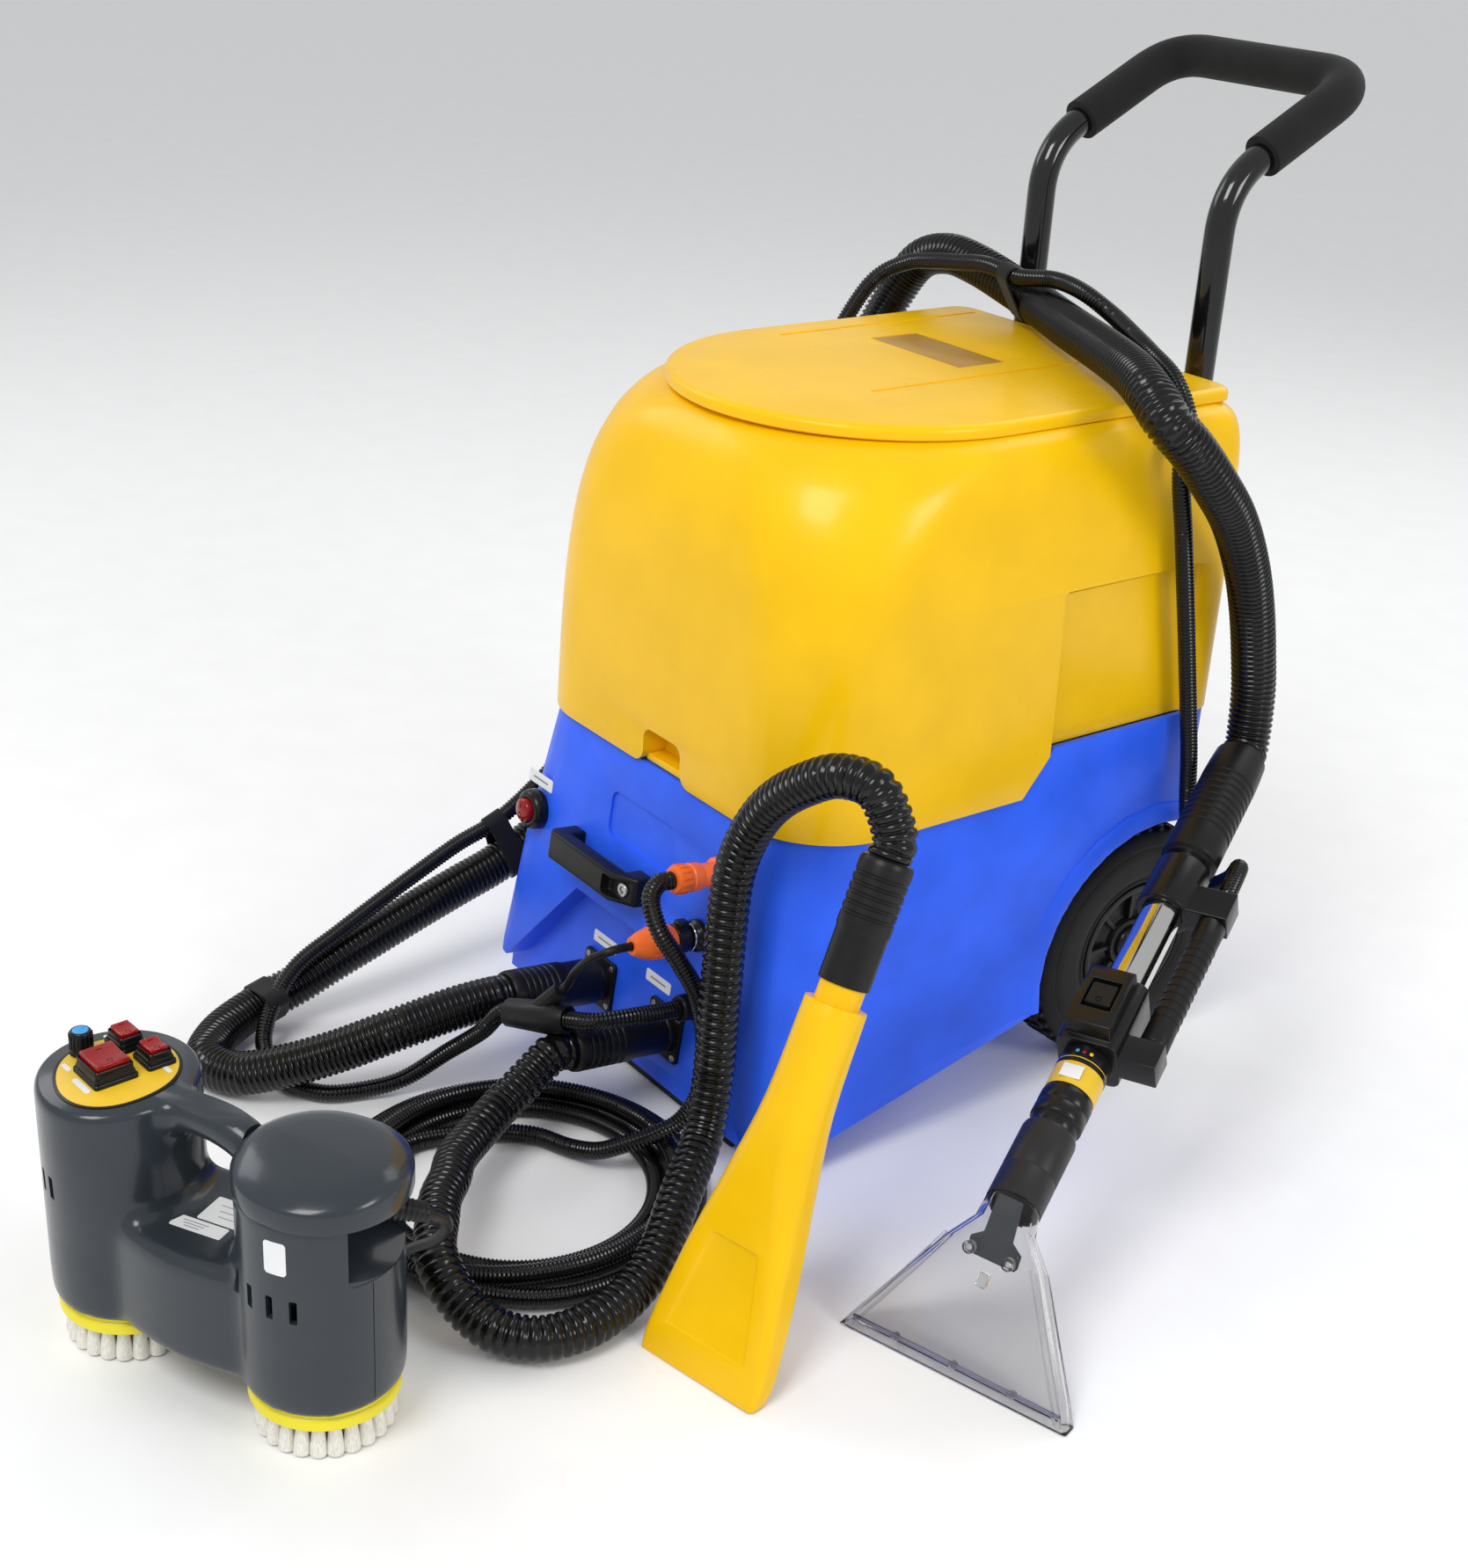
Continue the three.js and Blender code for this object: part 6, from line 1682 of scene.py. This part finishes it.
        lid = turned([(0, 19.3), (6.2, 19.3), (6.2, 19.9), (5.4, 20.2), (0, 20.3)], 32)
        lid = carve(lid, block(-0.5, 0.5, 1, 7, 19.9, 22))
        finish(moved(lid, place), "speed_dial_lid", blue_cap(), "knob")
        pills = ((-4, -34, 24, 5), (-36, 26, 13, 4), (30, 20, 13, 4), (-32, -22, 12, 4))
        for i, (u, v, w, h) in enumerate(pills):
            spot = on_brush(u - BARREL_HALF, v, BARREL_TOP - 0.1, PANEL_TURN)
            finish(moved(label_card(w, h, h / 2.1, 0.35), spot), f"panel_pill_{i + 1}", label_paper())

    @staticmethod
    def head(side, name):
        place = BRUSH @ Matrix.Translation((side * BARREL_HALF * MM, 0, 0))
        plate = turned([(0, 29), (51, 29), (52.5, 28.2), (56.8, 28.4), (58, 29.6), (58, 36.4), (57, 38),
                        (55.4, 39), (55, 42), (6.4, 42), (6.4, 34.7), (0, 34.7)], 80)
        finish(moved(plate, place), name + "_brush_ring", ring_plastic(), name + "_brush",
               [name + "_brush_head"])
        tuft = turned([(0, 0.6), (4, 0.2), (6.7, 0.9), (6.9, 2.4), (6.3, 10), (5, 20), (3.8, 29.6),
                       (0, 29.6)], 14)
        tufts = []
        for radius, count in ((9, 4), (22, 10), (35, 17), (47.4, 24)):
            for i in range(count):
                angle = 2 * math.pi * (i + 0.3 * radius) / count
                lean = Matrix.Rotation(-0.035 * radius / 48, 4, "Y")
                spot = (Matrix.Rotation(angle, 4, "Z")
                        @ Matrix.Translation(Vector((radius - 0.6, 0, 0)) * MM))
                raise_up = Matrix.Translation(Vector((0, 0, 29.6)) * MM)
                tufts.append(copied(tuft, spot @ raise_up @ lean @ raise_up.inverted()))
        bpy.data.objects.remove(tuft)
        finish(moved(joined(*tufts), place), name + "_bristles", bristle(), name + "_brush")

    @staticmethod
    def cards():
        spots = (("saddle_card", 12, 6, 56, 30, 0.12), ("saddle_strip", -4, -20, 46, 14, 0.12))
        for name, u, v, width, height, turn in spots:
            card = moved(label_card(width, height, 1.5), on_brush(u, v, 139.9, turn))
            finish(card, name, label_paper())
            for i in range(3):
                line = label_card(width * (0.5 - 0.1 * i), 0.9, 0.4, 0.1)
                place = on_brush(u, v, 140.4, turn) @ Matrix.Translation(
                    Vector((-width * 0.1, height * (0.2 - 0.22 * i), 0)) * MM)
                finish(moved(line, place), f"{name}_line_{i + 1}", faint_print())
        turn = math.radians(-81)
        side = (BRUSH @ Matrix.Translation((BARREL_HALF * MM, 0, 0)) @ Matrix.Rotation(turn, 4, "Z")
                @ basis((61.7, 0, 184), (0, 1, 0), (1, 0, 0)))
        rings = []
        for i in range(13):
            x = 1.5 * (i - 6)
            over = max(0, abs(x) - 6.61)
            half, sag = 14 - 2.4 + math.sqrt(2.4 ** 2 - over ** 2), x * x / 123.4
            rings.append([(x, -half, -sag - 0.6), (x, half, -sag - 0.6), (x, half, 0.5 - sag),
                          (x, -half, 0.5 - sag)])
        card = lofted(rings)
        finish(moved(card, side), "side_card", label_paper())

    @staticmethod
    def lead_boot():
        curve = curve_through(LEAD_ROUTE)
        length = length_along(curve)[-1]
        steps = 44
        start, end = length - 0.052, length - 0.012
        distances = [start + (end - start) * i / steps for i in range(steps + 1)]
        places, ahead = respaced(curve, distances)
        radii = []
        for i in range(steps + 1):
            t = i / steps
            ridge = 0.0007 if i % 4 in (0, 1) and 0.08 < t < 0.85 else 0
            radii.append(0.0066 + 0.0034 * t + ridge)
        boot = tube_mesh("lead_boot", places, ahead, radii, 20)
        finish(boot, "lead_boot", satin_black())


# ---------- straps and inner parts ----------
class CLEANER_OT_straps(bpy.types.Operator):
    """Ties the conduit to the suction hose"""
    bl_idname = "cleaner.straps"
    bl_label = "Hose straps"

    def execute(self, context):
        hose = respaced_route(SUCTION_ROUTE)
        line = respaced_route(WAND_CONDUIT_ROUTE)
        for name, near in (("low", (-266, -290, 30)), ("side", (-265, -10, 122)), ("back", (-268, 340, 470)),
                           ("top", (-72, 472, 700))):
            spot, direction = nearest(hose, Vector(near))
            other = crossing(line, spot, direction)
            strap(name + "_strap", spot, direction, [(spot, 21), (other, 8.5)], 22)
        return {"FINISHED"}


def respaced_route(route, step=0.003):
    curve = curve_through(route)
    length = length_along(curve)[-1]
    count = round(length / step)
    places, ahead = respaced(curve, [length * i / count for i in range(count + 1)])
    return [(p / MM, d) for p, d in zip(places, ahead)]


def nearest(line, target):
    return min(line, key=lambda item: (item[0] - target).length)


def crossing(line, spot, direction):
    """Where a line crosses the plane square to a direction, close to a spot."""
    close = [p for p, d in line if (p - spot).length < 80]
    return min(close, key=lambda p: abs((p - spot).dot(direction)))


INNER_FINISHES = {
    "equipment_deck": steel, "vacuum_motor": steel, "vacuum_fan": satin_black, "drying_blower": satin_black,
    "solution_pump": black_plastic, "solution_tank": white_plastic, "axle": steel,
    "suction_riser": satin_black, "float_cage": satin_black, "float_ball": white_plastic,
    "left_brush_motor": steel, "right_brush_motor": steel,
}


class CLEANER_OT_inner_parts(bpy.types.Operator):
    """Gives the motors, the tanks inside and the axle their materials"""
    bl_idname = "cleaner.inner_parts"
    bl_label = "Inner parts"

    def execute(self, context):
        for node, paint in INNER_FINISHES.items():
            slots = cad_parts[node].material_slots
            for slot in slots:
                slot.material = paint()
        return {"FINISHED"}


ORDER = (CLEANER_OT_stage, CLEANER_OT_cords, CLEANER_OT_base, CLEANER_OT_wheels, CLEANER_OT_tank,
         CLEANER_OT_push_handle, CLEANER_OT_front_panel, CLEANER_OT_wand, CLEANER_OT_air_nozzle,
         CLEANER_OT_brush, CLEANER_OT_straps, CLEANER_OT_inner_parts)


class CLEANER_PT_panel(bpy.types.Panel):
    """Lists the steps that build the cleaner, with its sizes and colours"""
    bl_idname = "CLEANER_PT_panel"
    bl_label = "Carpet Cleaner"
    bl_space_type = "VIEW_3D"
    bl_region_type = "UI"
    bl_category = "Cleaner"

    def draw(self, context):
        layout = self.layout
        for step in ORDER:
            layout.operator(step.bl_idname)
        for group in (colours(), hoses(), trim()):
            box = layout.box()
            for key in group.__annotations__:
                box.prop(group, key)


GROUPS = (("cleaner_colours", CleanerColours), ("cleaner_hoses", HoseSizes), ("cleaner_trim", TrimSizes))


def register():
    for name, group in GROUPS:
        bpy.utils.register_class(group)
        setattr(bpy.types.Scene, name, bpy.props.PointerProperty(type=group))
    for step in (*ORDER, CLEANER_PT_panel):
        bpy.utils.register_class(step)


def unregister():
    for step in (CLEANER_PT_panel, *reversed(ORDER)):
        bpy.utils.unregister_class(step)
    for name, group in reversed(GROUPS):
        delattr(bpy.types.Scene, name)
        bpy.utils.unregister_class(group)


def main():
    register()
    for step in ORDER:
        area, name = step.bl_idname.split(".")
        deselect()
        getattr(getattr(bpy.ops, area), name)()


if __name__ == "__main__":
    main()
